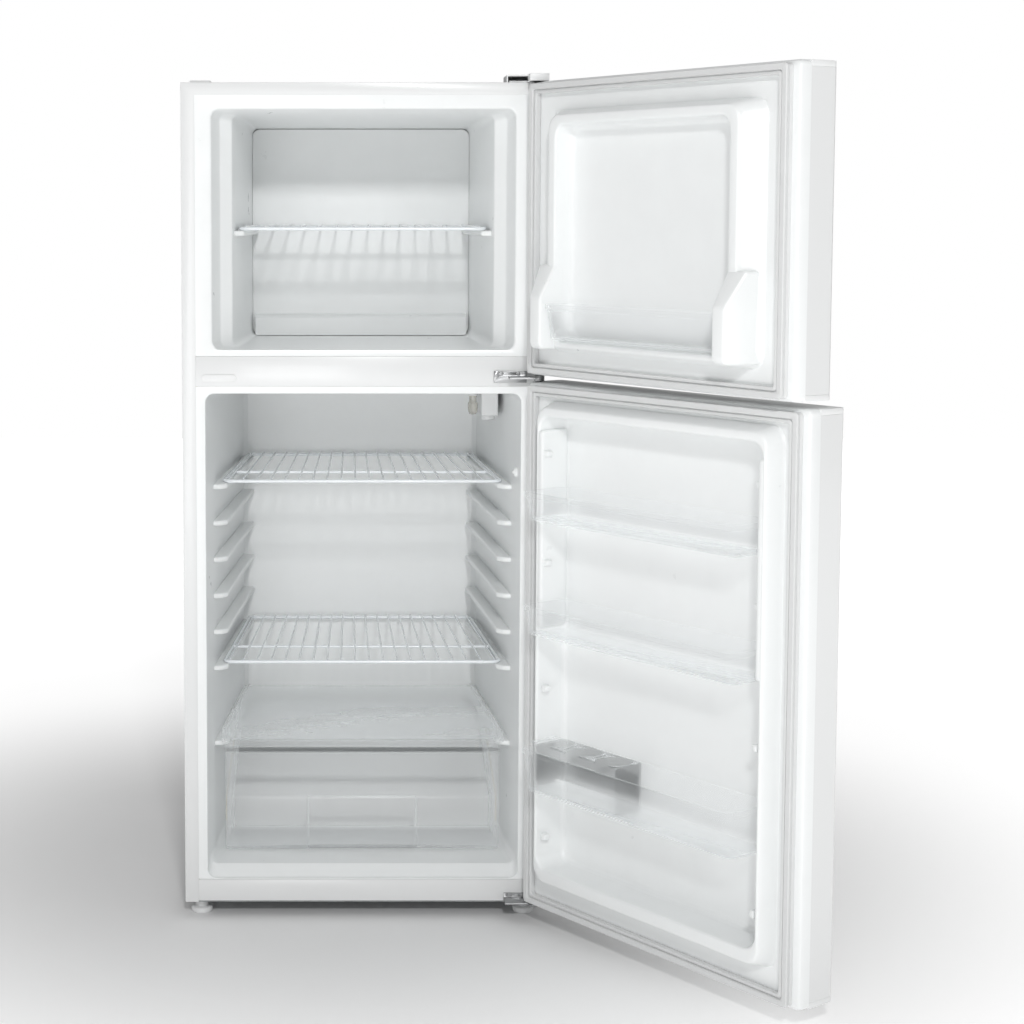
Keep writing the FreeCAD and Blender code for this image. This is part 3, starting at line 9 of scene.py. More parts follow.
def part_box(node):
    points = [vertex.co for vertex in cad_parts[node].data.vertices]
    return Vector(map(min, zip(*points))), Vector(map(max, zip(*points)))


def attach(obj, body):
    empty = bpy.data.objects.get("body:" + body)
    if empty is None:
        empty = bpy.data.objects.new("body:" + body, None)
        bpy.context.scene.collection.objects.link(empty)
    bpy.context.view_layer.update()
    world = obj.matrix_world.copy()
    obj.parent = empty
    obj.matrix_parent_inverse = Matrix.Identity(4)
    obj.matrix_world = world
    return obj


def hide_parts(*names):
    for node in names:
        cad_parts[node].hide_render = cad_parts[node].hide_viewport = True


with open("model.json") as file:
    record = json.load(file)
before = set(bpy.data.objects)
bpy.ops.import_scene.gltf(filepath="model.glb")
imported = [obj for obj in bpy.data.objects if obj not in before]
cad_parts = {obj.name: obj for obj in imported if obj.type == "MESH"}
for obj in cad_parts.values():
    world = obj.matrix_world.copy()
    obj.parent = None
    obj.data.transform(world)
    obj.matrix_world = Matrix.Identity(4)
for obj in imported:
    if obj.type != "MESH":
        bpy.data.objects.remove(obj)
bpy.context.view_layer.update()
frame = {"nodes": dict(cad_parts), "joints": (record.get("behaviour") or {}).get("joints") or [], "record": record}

bl_info = {
    "name": "Top Freezer Refrigerator",
    "version": (1, 0, 0),
    "blender": (4, 5, 0),
    "location": "3D View > Sidebar > Refrigerator",
    "description": "Builds an open two-door refrigerator round its packed frame",
    "category": "Add Mesh",
}

MM = 0.001
SMOOTH_ANGLE = math.radians(40)
WHITE = (1, 1, 1, 1)


# ------------------------------------------------------------ frame's sizes


def to_linear(code):
    """An sRGB hex colour as linear RGB."""
    parts = [int(code[i:i + 2], 16) / 255 for i in (1, 3, 5)]
    return tuple(c / 12.92 if c <= 0.04045 else ((c + 0.055) / 1.055) ** 2.4 for c in parts)


def joint(name):
    """The record's joint of this name."""
    return next(j for j in frame["joints"] if j["name"] == name)


def open_turn(door):
    """The turn about its hinge pins that brings a shut door to where it stands open."""
    swing = joint(f"{door}_swing")
    pin = Vector(swing["pos_m"])
    turn = Matrix.Rotation(math.radians(-swing["range_deg"][0]), 4, "Z")
    return Matrix.Translation(pin) @ turn @ Matrix.Translation(-pin)


def shut_box(node, door):
    """A door node's lowest and highest corners as they are with the door shut."""
    back = open_turn(door).inverted()
    places = [back @ v.co for v in frame["nodes"][node].data.vertices]
    low = Vector(min(p[i] for p in places) for i in range(3))
    high = Vector(max(p[i] for p in places) for i in range(3))
    return low, high


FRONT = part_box("outer_cabinet_shell")[0].y
BODY_OF = {n: b for b, names in frame["record"]["behaviour"]["bodies"].items() for n in names}
SLOT_OF = {s["node"]: s["material_slot"] for s in frame["record"]["subparts"]}


# ---------------------------------------------------------------- settings


class RefrigeratorSettings(bpy.types.PropertyGroup):
    """Sizes and colours that a user would change."""

    enamel: bpy.props.FloatVectorProperty(
        name="Enamel", description="Colour of the painted steel", subtype="COLOR", size=3,
        min=0, max=1, default=to_linear("#E6E7E7"))
    liner: bpy.props.FloatVectorProperty(
        name="Liner", description="Colour of the moulded linings", subtype="COLOR", size=3,
        min=0, max=1, default=to_linear("#F3F5F5"))
    seal: bpy.props.FloatVectorProperty(
        name="Seal", description="Colour of the door seals", subtype="COLOR", size=3,
        min=0, max=1, default=to_linear("#DCDDDD"))
    clear: bpy.props.FloatVectorProperty(
        name="Clear plastic", description="Tint of the bins and the crisper", subtype="COLOR",
        size=3, min=0, max=1, default=to_linear("#F3F8FA"))
    edge_radius: bpy.props.FloatProperty(
        name="Moulded edge", description="Radius of the linings' soft edges", unit="LENGTH",
        default=3.5 * MM, min=0, max=0.01)
    bin_wall: bpy.props.FloatProperty(
        name="Clear wall", description="Wall thickness of the clear drawer", unit="LENGTH",
        default=2.2 * MM, min=0.001, max=0.005)
    sheet: bpy.props.FloatProperty(
        name="Lining sheet", description="Wall thickness of the moulded linings", unit="LENGTH",
        default=1.2 * MM, min=0.0005, max=0.004)
    focal_length: bpy.props.FloatProperty(
        name="Focal length", description="Focal length of the camera", subtype="DISTANCE_CAMERA",
        default=71.4, min=10, max=300)


def settings():
    """The scene's sizes and colours."""
    return bpy.context.scene.refrigerator


# ---------------------------------------------------------------- materials


def add_node(tree, kind, inputs=None, **properties):
    """Add a shader node, set its properties and sockets, and link what is linked."""
    made = tree.nodes.new(kind)
    for name, value in properties.items():
        setattr(made, name, value)
    for socket, value in (inputs or {}).items():
        if isinstance(value, bpy.types.NodeSocket):
            tree.links.new(value, made.inputs[socket])
        else:
            made.inputs[socket].default_value = value
    return made


def blank_material(name):
    """An empty node material with its output node."""
    material = bpy.data.materials.new(name)
    material.use_nodes = True
    tree = material.node_tree
    tree.nodes.clear()
    return material, tree, tree.nodes.new("ShaderNodeOutputMaterial")


def plain_finish(name, colour, roughness, grain_mm, bump_mm, metallic=0.0, mottle=0.0,
                 roughness_spread=0.0, coat=0.0, coat_roughness=0.1, patch_mm=90.0, ior=1.5):
    """A surface with a fine grain in relief and broad, faint changes of shade and gloss."""
    material, tree, out = blank_material(name)
    place = add_node(tree, "ShaderNodeTexCoord").outputs["Object"]
    grain = add_node(tree, "ShaderNodeTexNoise", {
        "Vector": place, "Scale": 1 / (grain_mm * MM), "Detail": 2.0, "Roughness": 0.55})
    patches = add_node(tree, "ShaderNodeTexNoise", {
        "Vector": place, "Scale": 1 / (patch_mm * MM), "Detail": 4.0, "Roughness": 0.6})
    dark = tuple(c * (1 - mottle) for c in colour)
    shade = add_node(tree, "ShaderNodeMix", {
        "Factor": patches.outputs["Fac"], "A": (*dark, 1), "B": (*colour, 1)},
        data_type="RGBA")
    gloss = add_node(tree, "ShaderNodeMapRange", {
        "Value": patches.outputs["Fac"], "To Min": max(roughness - roughness_spread, 0.02),
        "To Max": roughness + roughness_spread})
    relief = add_node(tree, "ShaderNodeBump", {
        "Height": grain.outputs["Fac"], "Strength": 1.0, "Distance": bump_mm * MM})
    skin = add_node(tree, "ShaderNodeBsdfPrincipled", {
        "Base Color": shade.outputs["Result"], "Metallic": metallic, "IOR": ior,
        "Roughness": gloss.outputs["Result"], "Normal": relief.outputs["Normal"],
        "Coat Weight": coat, "Coat Roughness": coat_roughness})
    tree.links.new(skin.outputs["BSDF"], out.inputs["Surface"])
    return material


def baked_enamel():
    """White polyester enamel, sprayed on steel and baked: glossy with a faint orange peel."""
    return plain_finish("baked_enamel", settings().enamel, 0.3, 5.0, 0.03, mottle=0.015,
                        roughness_spread=0.04, coat=0.25, coat_roughness=0.08, patch_mm=260)


def vacuum_formed_styrene():
    """High-impact polystyrene drawn over a mould: satin gloss, slightly wavy, faintly clouded."""
    return plain_finish("vacuum_formed_styrene", settings().liner, 0.3, 26.0, 0.1, mottle=0.05,
                        roughness_spread=0.06, patch_mm=55, ior=1.59)


def extruded_vinyl_seal():
    """Soft PVC, extruded: a dull, even skin with fine drawn lines."""
    return plain_finish("extruded_vinyl_seal", settings().seal, 0.5, 1.2, 0.02, mottle=0.06,
                        roughness_spread=0.05, patch_mm=40)


def moulded_abs_white():
    """White ABS from a spark-eroded mould: an even fine grain."""
    return plain_finish("moulded_abs_white", to_linear("#E9EAEA"), 0.38, 1.0, 0.03, mottle=0.03,
                        roughness_spread=0.05, patch_mm=30, ior=1.54)


def dipped_wire():
    """Steel wire dipped in white polyethylene: thick, glossy and slightly uneven."""
    return plain_finish("dipped_wire", to_linear("#EFF3F6"), 0.22, 6.0, 0.06, mottle=0.04,
                        roughness_spread=0.05, coat=0.3, patch_mm=20)


def zinc_plate():
    """Bright zinc plate on pressed steel: grey metal with a soft, patchy shine."""
    return plain_finish("zinc_plate", to_linear("#A9AAAB"), 0.34, 0.8, 0.02, metallic=1.0,
                        mottle=0.2, roughness_spread=0.1, patch_mm=12)


def galvanised_sheet():
    """Hot-dipped sheet steel: large dull zinc crystals."""
    material, tree, out = blank_material("galvanised_sheet")
    place = add_node(tree, "ShaderNodeTexCoord").outputs["Object"]
    crystals = add_node(tree, "ShaderNodeTexVoronoi", {"Vector": place, "Scale": 1 / (14 * MM)})
    dull = add_node(tree, "ShaderNodeMapRange", {
        "Value": crystals.outputs["Color"], "To Min": 0.38, "To Max": 0.58})
    shade = add_node(tree, "ShaderNodeMix", {
        "Factor": crystals.outputs["Color"], "A": (*to_linear("#8E9193"), 1),
        "B": (*to_linear("#B4B7B9"), 1)}, data_type="RGBA")
    skin = add_node(tree, "ShaderNodeBsdfPrincipled", {
        "Base Color": shade.outputs["Result"], "Metallic": 0.85,
        "Roughness": dull.outputs["Result"]})
    tree.links.new(skin.outputs["BSDF"], out.inputs["Surface"])
    return material


def black_lacquer():
    """Black stoving lacquer on the compressor and the coil: satin, with dust in the film."""
    return plain_finish("black_lacquer", to_linear("#1B1C1D"), 0.38, 2.0, 0.04, mottle=0.3,
                        roughness_spread=0.1, patch_mm=40)


def dark_polypropylene():
    """Dark grey polypropylene: matt, slightly waxy."""
    return plain_finish("dark_polypropylene", to_linear("#45474A"), 0.55, 1.0, 0.04, mottle=0.1,
                        roughness_spread=0.06, patch_mm=20)


def black_rubber():
    """Vulcanised rubber: matt black with a powdery skin."""
    return plain_finish("black_rubber", to_linear("#1C1C1D"), 0.8, 0.8, 0.05, mottle=0.2,
                        patch_mm=15)


def drawn_copper():
    """Drawn copper pipe, a little tarnished."""
    return plain_finish("drawn_copper", to_linear("#B06E4A"), 0.3, 0.6, 0.01, metallic=1.0,
                        mottle=0.35, roughness_spread=0.1, patch_mm=18)


def mill_aluminium():
    """Rolled aluminium fins, left bare."""
    return plain_finish("mill_aluminium", to_linear("#C3C6C8"), 0.35, 0.6, 0.01, metallic=1.0,
                        mottle=0.1, patch_mm=15)


def polyurethane_foam():
    """Rigid foam, closed-celled and buff, hidden behind the linings."""
    return plain_finish("polyurethane_foam", to_linear("#E2D3A2"), 0.9, 2.0, 0.4, mottle=0.1)


def clear_styrene_painted_glow():
    """Crystal polystyrene: clear face on, milky and shiny where the wall is seen edge on, with a faint painted
    glow, light painted into the plastic to lift its shaded walls.
    """
    material, tree, out = blank_material("clear_styrene_painted_glow")
    place = add_node(tree, "ShaderNodeTexCoord").outputs["Object"]
    flow = add_node(tree, "ShaderNodeTexNoise", {
        "Vector": place, "Scale": 1 / (30 * MM), "Detail": 3.0})
    haze = add_node(tree, "ShaderNodeMapRange", {
        "Value": flow.outputs["Fac"], "To Min": 0.05, "To Max": 0.16})
    relief = add_node(tree, "ShaderNodeBump", {
        "Height": flow.outputs["Fac"], "Strength": 1.0, "Distance": 0.15 * MM})
    slant = add_node(tree, "ShaderNodeLayerWeight", {"Blend": 0.5})
    body = add_node(tree, "ShaderNodeMapRange", {
        "Value": slant.outputs["Facing"], "From Min": 0.5, "From Max": 1.0,
        "To Min": 0.04, "To Max": 0.65})
    skin = add_node(tree, "ShaderNodeBsdfPrincipled", {
        "Base Color": (*settings().clear, 1), "IOR": 1.5, "Alpha": body.outputs["Result"],
        # painted light: a faint white glow that lifts the plastic's shaded walls, though the plastic gives off no
        # light
        "Emission Color": WHITE, "Emission Strength": 0.12,
        "Roughness": haze.outputs["Result"], "Normal": relief.outputs["Normal"]})
    tree.links.new(skin.outputs["BSDF"], out.inputs["Surface"])
    return material


def blown_glass():
    """Thin clear glass of the lamp, with a grey cast."""
    material, tree, out = blank_material("blown_glass")
    skin = add_node(tree, "ShaderNodeBsdfPrincipled", {
        "Base Color": (*to_linear("#E9E7DF"), 1), "IOR": 1.5, "Transmission Weight": 0.7,
        "Roughness": 0.08})
    tree.links.new(skin.outputs["BSDF"], out.inputs["Surface"])
    return material


FINISH_OF_SLOT = {
    "white_paint": baked_enamel,
    "zinc_sheet": galvanised_sheet,
    "white_liner": vacuum_formed_styrene,
    "foam": polyurethane_foam,
    "white_plastic": moulded_abs_white,
    "grey_plastic": dark_polypropylene,
    "hinge_steel": zinc_plate,
    "black_paint": black_lacquer,
    "copper_pipe": drawn_copper,
    "bare_aluminium": mill_aluminium,
    "black_rubber": black_rubber,
    "seal": extruded_vinyl_seal,
    "white_wire": dipped_wire,
    "clear_plastic": clear_styrene_painted_glow,
    "bulb_glass": blown_glass,
}
FINISHES = {}


def finish_for(slot):
    """The material for one of the record's slots, made once."""
    if slot not in FINISHES:
        FINISHES[slot] = FINISH_OF_SLOT[slot]()
    return FINISHES[slot]


# ------------------------------------------------------------------- modelling


def object_mode():
    """Leave edit mode, if it is on, with nothing selected."""
    if bpy.context.mode != "OBJECT":
        bpy.ops.object.mode_set(mode="OBJECT")
    bpy.ops.object.select_all(action="DESELECT")


def open_mesh(piece, name):
    """Name a new primitive, apply its place and open it for editing."""
    piece.name = piece.data.name = name
    bpy.ops.object.transform_apply(location=True, rotation=True, scale=True)
    bpy.ops.object.mode_set(mode="EDIT")


def start_box(name, low, high):
    """Add a box between two corners and open it for editing with nothing selected."""
    object_mode()
    low, high = Vector(low), Vector(high)
    bpy.ops.mesh.primitive_cube_add(size=1, location=(low + high) / 2)
    piece = bpy.context.object
    piece.scale = high - low
    open_mesh(piece, name)
    bpy.ops.mesh.select_all(action="DESELECT")
    return piece


def spread(axis, place, spans):
    """The middle and size of a rectangle at one place along an axis."""
    spans = list(spans)
    spans.insert("xyz".index(axis), (place, place))
    middle = Vector((a + b) / 2 for a, b in spans)
    return middle, Vector(b - a for a, b in spans)


def move(offset):
    """Move what is selected in the open mesh."""
    bpy.ops.transform.translate(value=offset)


def draw_rings(name, axis, rings, corner=0.0, segments=6):
    """Extrude a rounded rectangle along an axis, resized at each ring.

    A ring is its place along the axis and its low and high ends in the other
    two axes. The mesh stays open for editing, closed at both its ends.
    """
    object_mode()
    middle, size = spread(axis, rings[0][0], rings[0][1:])
    turn = {"x": (0, math.pi / 2, 0), "y": (math.pi / 2, 0, 0), "z": (0, 0, 0)}[axis]
    bpy.ops.mesh.primitive_plane_add(size=1, location=middle, rotation=turn)
    piece = bpy.context.object
    open_mesh(piece, name)
    bpy.ops.transform.resize(value=[s or 1 for s in size], center_override=middle)
    if corner:
        bpy.ops.mesh.bevel(offset=corner, segments=segments, affect="VERTICES")
    for place, *spans in rings[1:]:
        new_middle, new_size = spread(axis, place, spans)
        bpy.ops.mesh.extrude_region_move(TRANSFORM_OT_translate={"value": new_middle - middle})
        ratio = [b / a if a else 1 for a, b in zip(size, new_size)]
        bpy.ops.transform.resize(value=ratio, center_override=new_middle)
        middle, size = new_middle, new_size
    return piece


def draw_outline(name, axis, points, low, high):
    """Draw an outline vertex by vertex, fill it and extrude it from low to high."""
    index = "xyz".index(axis)

    def at(point):
        place = list(point)
        place.insert(index, low)
        return Vector(place)

    object_mode()
    bpy.ops.mesh.primitive_plane_add(size=0.01, location=at(points[0]))
    piece = bpy.context.object
    open_mesh(piece, name)
    bpy.ops.mesh.select_mode(type="VERT")
    bpy.ops.mesh.merge(type="CENTER")
    for a, b in zip(points, points[1:]):
        bpy.ops.mesh.extrude_vertices_move(TRANSFORM_OT_translate={"value": at(b) - at(a)})
    bpy.ops.mesh.select_all(action="SELECT")
    bpy.ops.mesh.edge_face_add()
    bpy.ops.mesh.select_mode(type="FACE")
    bpy.ops.mesh.select_all(action="SELECT")
    depth = Vector((0, 0, 0))
    depth[index] = high - low
    bpy.ops.mesh.extrude_region_move(TRANSFORM_OT_translate={"value": depth})
    bpy.ops.mesh.select_all(action="SELECT")
    bpy.ops.mesh.normals_make_consistent(inside=False)
    return piece


def pick(piece, kind, test):
    """Select the open mesh's vertices, edges or faces that pass a test, and nothing else."""
    bpy.ops.mesh.select_all(action="DESELECT")
    bpy.ops.mesh.select_mode(type=kind)
    mesh = bmesh.from_edit_mesh(piece.data)
    elements = {"VERT": mesh.verts, "EDGE": mesh.edges, "FACE": mesh.faces}[kind]
    chosen = [e for e in elements if test(e)]
    if not chosen:
        raise RuntimeError(f"{piece.name}: nothing to select")
    for element in chosen:
        element.select = True
    mesh.select_flush_mode()
    bmesh.update_edit_mesh(piece.data)


def facing(axis, sign=0, place=None, near=1e-5):
    """A test for faces across an axis, on one side or both, optionally at one place."""
    index = "xyz".index(axis)

    def test(face):
        way = face.normal[index]
        if (abs(way) if sign == 0 else way * sign) < 0.99:
            return False
        return place is None or abs(face.calc_center_median()[index] - place) < near

    return test


def remove_faces(piece, *tests):
    """Delete the faces that pass any of the tests."""
    pick(piece, "FACE", lambda face: any(test(face) for test in tests))
    bpy.ops.mesh.delete(type="FACE")


def point_cap(piece, axis, place, sign):
    """Turn every face over unless the one across the axis at this place points this way."""
    mesh = bmesh.from_edit_mesh(piece.data)
    cap = next(face for face in mesh.faces if facing(axis, 0, place)(face))
    if cap.normal["xyz".index(axis)] * sign < 0:
        bpy.ops.mesh.select_all(action="SELECT")
        bpy.ops.mesh.flip_normals()


def taper(piece, half_at):
    """Narrow the open mesh about x = 0 to a half width worked out from each depth."""
    mesh = bmesh.from_edit_mesh(piece.data)
    widest = max(v.co.x for v in mesh.verts)
    for depth in sorted({round(v.co.y, 5) for v in mesh.verts}):
        pick(piece, "VERT", lambda v: abs(v.co.y - depth) < 1e-5)
        ratio = half_at(depth) / widest
        bpy.ops.transform.resize(value=(ratio, 1, 1), center_override=(0, depth, 0))


def apply_modifier(piece, kind, **properties):
    """Add a modifier with these properties and apply it."""
    bpy.ops.object.modifier_add(type=kind)
    modifier = piece.modifiers[-1]
    for name, value in properties.items():
        setattr(modifier, name, value)
    bpy.ops.object.modifier_apply(modifier=modifier.name)


def make_only(piece):
    """Make a piece the one selected and active object."""
    object_mode()
    piece.select_set(True)
    bpy.context.view_layer.objects.active = piece


def open_with(piece, door):
    """Turn a piece that was drawn on the shut door to where the door stands."""
    make_only(piece)
    piece.matrix_world = open_turn(door)
    bpy.ops.object.transform_apply(location=True, rotation=True, scale=True)


def close_piece(piece, node, door=None, soft=0.0, segments=3, wall=0.0, angle=30):
    """Give a piece its soft edges, wall, place, finish and body."""
    make_only(piece)
    if soft:
        apply_modifier(piece, "BEVEL", width=soft, segments=segments, limit_method="ANGLE",
                       angle_limit=math.radians(angle), miter_outer="MITER_ARC")
    if wall:
        apply_modifier(piece, "SOLIDIFY", thickness=wall, offset=-1.0, use_even_offset=True)
    if door:
        open_with(piece, door)
    bpy.ops.object.shade_smooth_by_angle(angle=SMOOTH_ANGLE)
    finish_piece(piece, node)
    return piece


def finish_piece(piece, node):
    """Give a piece its node's finish and body, and let it stand for the node."""
    slot = SLOT_OF[node]
    piece.data.materials.clear()
    piece.data.materials.append(finish_for(slot))
    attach(piece, BODY_OF[node])
    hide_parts(node)


def copy_piece(piece, name, offset=(0, 0, 0), mirror=False):
    """Copy a piece with its own mesh, moved, or mirrored across x = 0."""
    make_only(piece)
    bpy.ops.object.duplicate(linked=False)
    made = bpy.context.object
    made.name = made.data.name = name
    bpy.ops.object.mode_set(mode="EDIT")
    bpy.ops.mesh.select_all(action="SELECT")
    move(offset)
    if mirror:
        bpy.ops.transform.resize(value=(-1, 1, 1), center_override=(0, 0, 0))
        bpy.ops.mesh.normals_make_consistent(inside=False)
    object_mode()
    return made


def both(half):
    """The two ends, in metres, of a span centred on x = 0, from half of it in millimetres."""
    return -half * MM, half * MM


def deep(depth):
    """The y of a plane this many millimetres behind the cabinet's front."""
    return FRONT + depth * MM


def draw_lining(name, rings):
    """Draw a compartment's inside: rings of (depth, half width, low, high) in millimetres."""
    spans = [(deep(d), both(half), (low * MM, high * MM)) for d, half, low, high in rings]
    piece = draw_rings(name, "y", spans, corner=16 * MM, segments=8)
    mouth, across, upright = spans[0]
    back = spans[-1][0]
    point_cap(piece, "y", back, -1)
    most_of_it = 0.9 * (across[1] - across[0]) * (upright[1] - upright[0])
    pick(piece, "FACE", lambda f: facing("y", 0, mouth)(f) and f.calc_area() > most_of_it)
    bpy.ops.mesh.delete(type="FACE")
    return piece


# ----------------------------------------------------------------- operators

# how far behind the cabinet's front the linings' flanges lie, in millimetres
FLANGE_DEPTH = 1.3
# how far the ledges' tops are below what they carry
LEDGE_GAP = 0.3 * MM

class REFRIGERATOR_OT_finishes(bpy.types.Operator):
    """Give every piece of the frame the finish of what it is made of"""

    bl_idname = "refrigerator.finishes"
    bl_label = "Finishes"

    def execute(self, context):
        for node, piece in frame["nodes"].items():
            piece.data.materials.clear()
            piece.data.materials.append(finish_for(SLOT_OF[node]))
        return {"FINISHED"}


class REFRIGERATOR_OT_freezer_liner(bpy.types.Operator):
    """Draw the freezer's lining as one sheet with a flange, a throat and soft corners"""

    bl_idname = "refrigerator.freezer_liner"
    bl_label = "Freezer lining"

    def execute(self, context):
        # depth, half width, floor and ceiling, in millimetres
        rings = (
            (FLANGE_DEPTH, 290, 951.2, 1391), (FLANGE_DEPTH, 250, 962, 1357),
            (8, 249, 962, 1356), (43, 239, 962, 1353), (60, 218.5, 962, 1351),
            (446, 197, 962, 1340), (454.5, 189, 970, 1331),
        )
        piece = draw_lining("freezer_lining", rings)
        close_piece(piece, "freezer_liner", soft=settings().edge_radius, wall=settings().sheet)
        self.make_rests()
        return {"FINISHED"}

    def make_rests(self):
        """Ledges that carry the freezer's shelf."""
        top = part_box("freezer_shelf")[0].z - LEDGE_GAP
        # half width and depth, in millimetres
        corners = ((220.5, 90), (201, 97), (198.5, 106), (187.5, 388), (189, 394), (204.5, 398))
        plan = [(x * MM, deep(depth)) for x, depth in corners]
        rest = draw_outline("freezer_shelf_rest_right", "z", plan, top - 9 * MM, top)
        close_piece(rest, "freezer_liner", soft=2.5 * MM)
        left = copy_piece(rest, "freezer_shelf_rest_left", mirror=True)
        finish_piece(left, "freezer_liner")


class REFRIGERATOR_OT_fridge_liner(bpy.types.Operator):
    """Draw the fridge's lining with its ribs, compressor hump and switch boss"""

    bl_idname = "refrigerator.fridge_liner"
    bl_label = "Fridge lining"

    def execute(self, context):
        # depth, half width, floor and ceiling, in millimetres
        rings = (
            (FLANGE_DEPTH, 290, 64.5, 900.8), (FLANGE_DEPTH, 262, 66, 889),
            (6, 261.5, 66.5, 888.5), (26, 260, 84, 887), (510, 223, 86, 875),
            (519.5, 214.5, 94, 865),
        )
        piece = draw_lining("fridge_lining", rings)
        close_piece(piece, "fridge_liner", soft=settings().edge_radius, wall=settings().sheet)
        self.make_hump()
        self.make_ribs()
        self.make_boss()
        return {"FINISHED"}

    def half_at(self, y):
        """Half the compartment's width at this depth."""
        return (262 - 40 * (y - FRONT) / (520 * MM)) * MM

    def make_hump(self):
        """The step in the floor that clears the compressor."""
        line = [(deep(233), 70 * MM), (deep(236), 138 * MM), (deep(250), 150 * MM),
                (deep(392), 250 * MM), (deep(408), 253 * MM), (deep(519), 253 * MM),
                (deep(519), 70 * MM)]
        hump = draw_outline("fridge_hump", "x", line, *both(250))
        taper(hump, lambda y: self.half_at(y) - 0.5 * MM)
        close_piece(hump, "fridge_liner", soft=6 * MM, segments=4, angle=20)

    def make_ribs(self):
        """Ledges on both walls that take the shelves at any of six heights, and the cover."""
        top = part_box("upper_fridge_shelf")[0].z - LEDGE_GAP
        # how far out from the wall, the depth that the wall is taken at and the point's depth
        outline = ((2, 94, 94), (-12, 98, 97), (-22.5, 108, 108), (-21.5, 500, 500), (2, 505, 506))
        plan = [(self.half_at(deep(wall)) + out * MM, deep(d)) for out, wall, d in outline]
        thick, pitch, count = 9 * MM, 63 * MM, 6
        rib = draw_outline("shelf_ledge_right_1", "z", plan, top - thick, top)
        close_piece(rib, "fridge_liner", soft=3.2 * MM, segments=4)
        drops = [pitch * k for k in range(count)]
        drops.append(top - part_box("crisper_cover")[1].z + 8 * MM)
        for number, drop in enumerate(drops, start=1):
            if number > 1:
                made = copy_piece(rib, f"shelf_ledge_right_{number}", (0, 0, -drop))
                finish_piece(made, "fridge_liner")
            made = copy_piece(rib, f"shelf_ledge_left_{number}", (0, 0, -drop), mirror=True)
            finish_piece(made, "fridge_liner")

    def make_boss(self):
        """The oval boss round the light switch."""
        low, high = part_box("light_switch_button")
        y, z = (low.y + high.y) / 2, (low.z + high.z) / 2
        wall_x = self.half_at(y)
        # out from the wall, half length and half height, in millimetres
        steps = ((1, 11, 8.5), (-3, 10, 7.5), (-4.4, 8.6, 6.1), (-4.4, 4.6, 4.6), (-1, 4.4, 4.4))
        rings = [
            (wall_x + out * MM, (y - a * MM, y + a * MM), (z - b * MM, z + b * MM))
            for out, a, b in steps
        ]
        boss = draw_rings("switch_boss", "x", rings, corner=7.5 * MM, segments=8)
        point_cap(boss, "x", rings[0][0], 1)
        close_piece(boss, "fridge_liner")


# each door's dyke and recess, in millimetres: half widths and the heights of their ends,
# how far the dyke stands in past the cabinet's front, how deep the recess's floor lies, and
# how far the dyke's two sides lean in on their way to its tip
DYKES = {
    "freezer_door": {"half": 236, "low": 970, "high": 1346, "tip": 18, "recess": 195,
                     "recess_low": 984, "recess_high": 1326, "deep": 4, "lean": 18},
    "fridge_door": {"half": 250, "low": 90, "high": 880, "tip": 16, "recess": 238,
                    "recess_low": 116, "recess_high": 861, "deep": 30, "lean": 1},
}


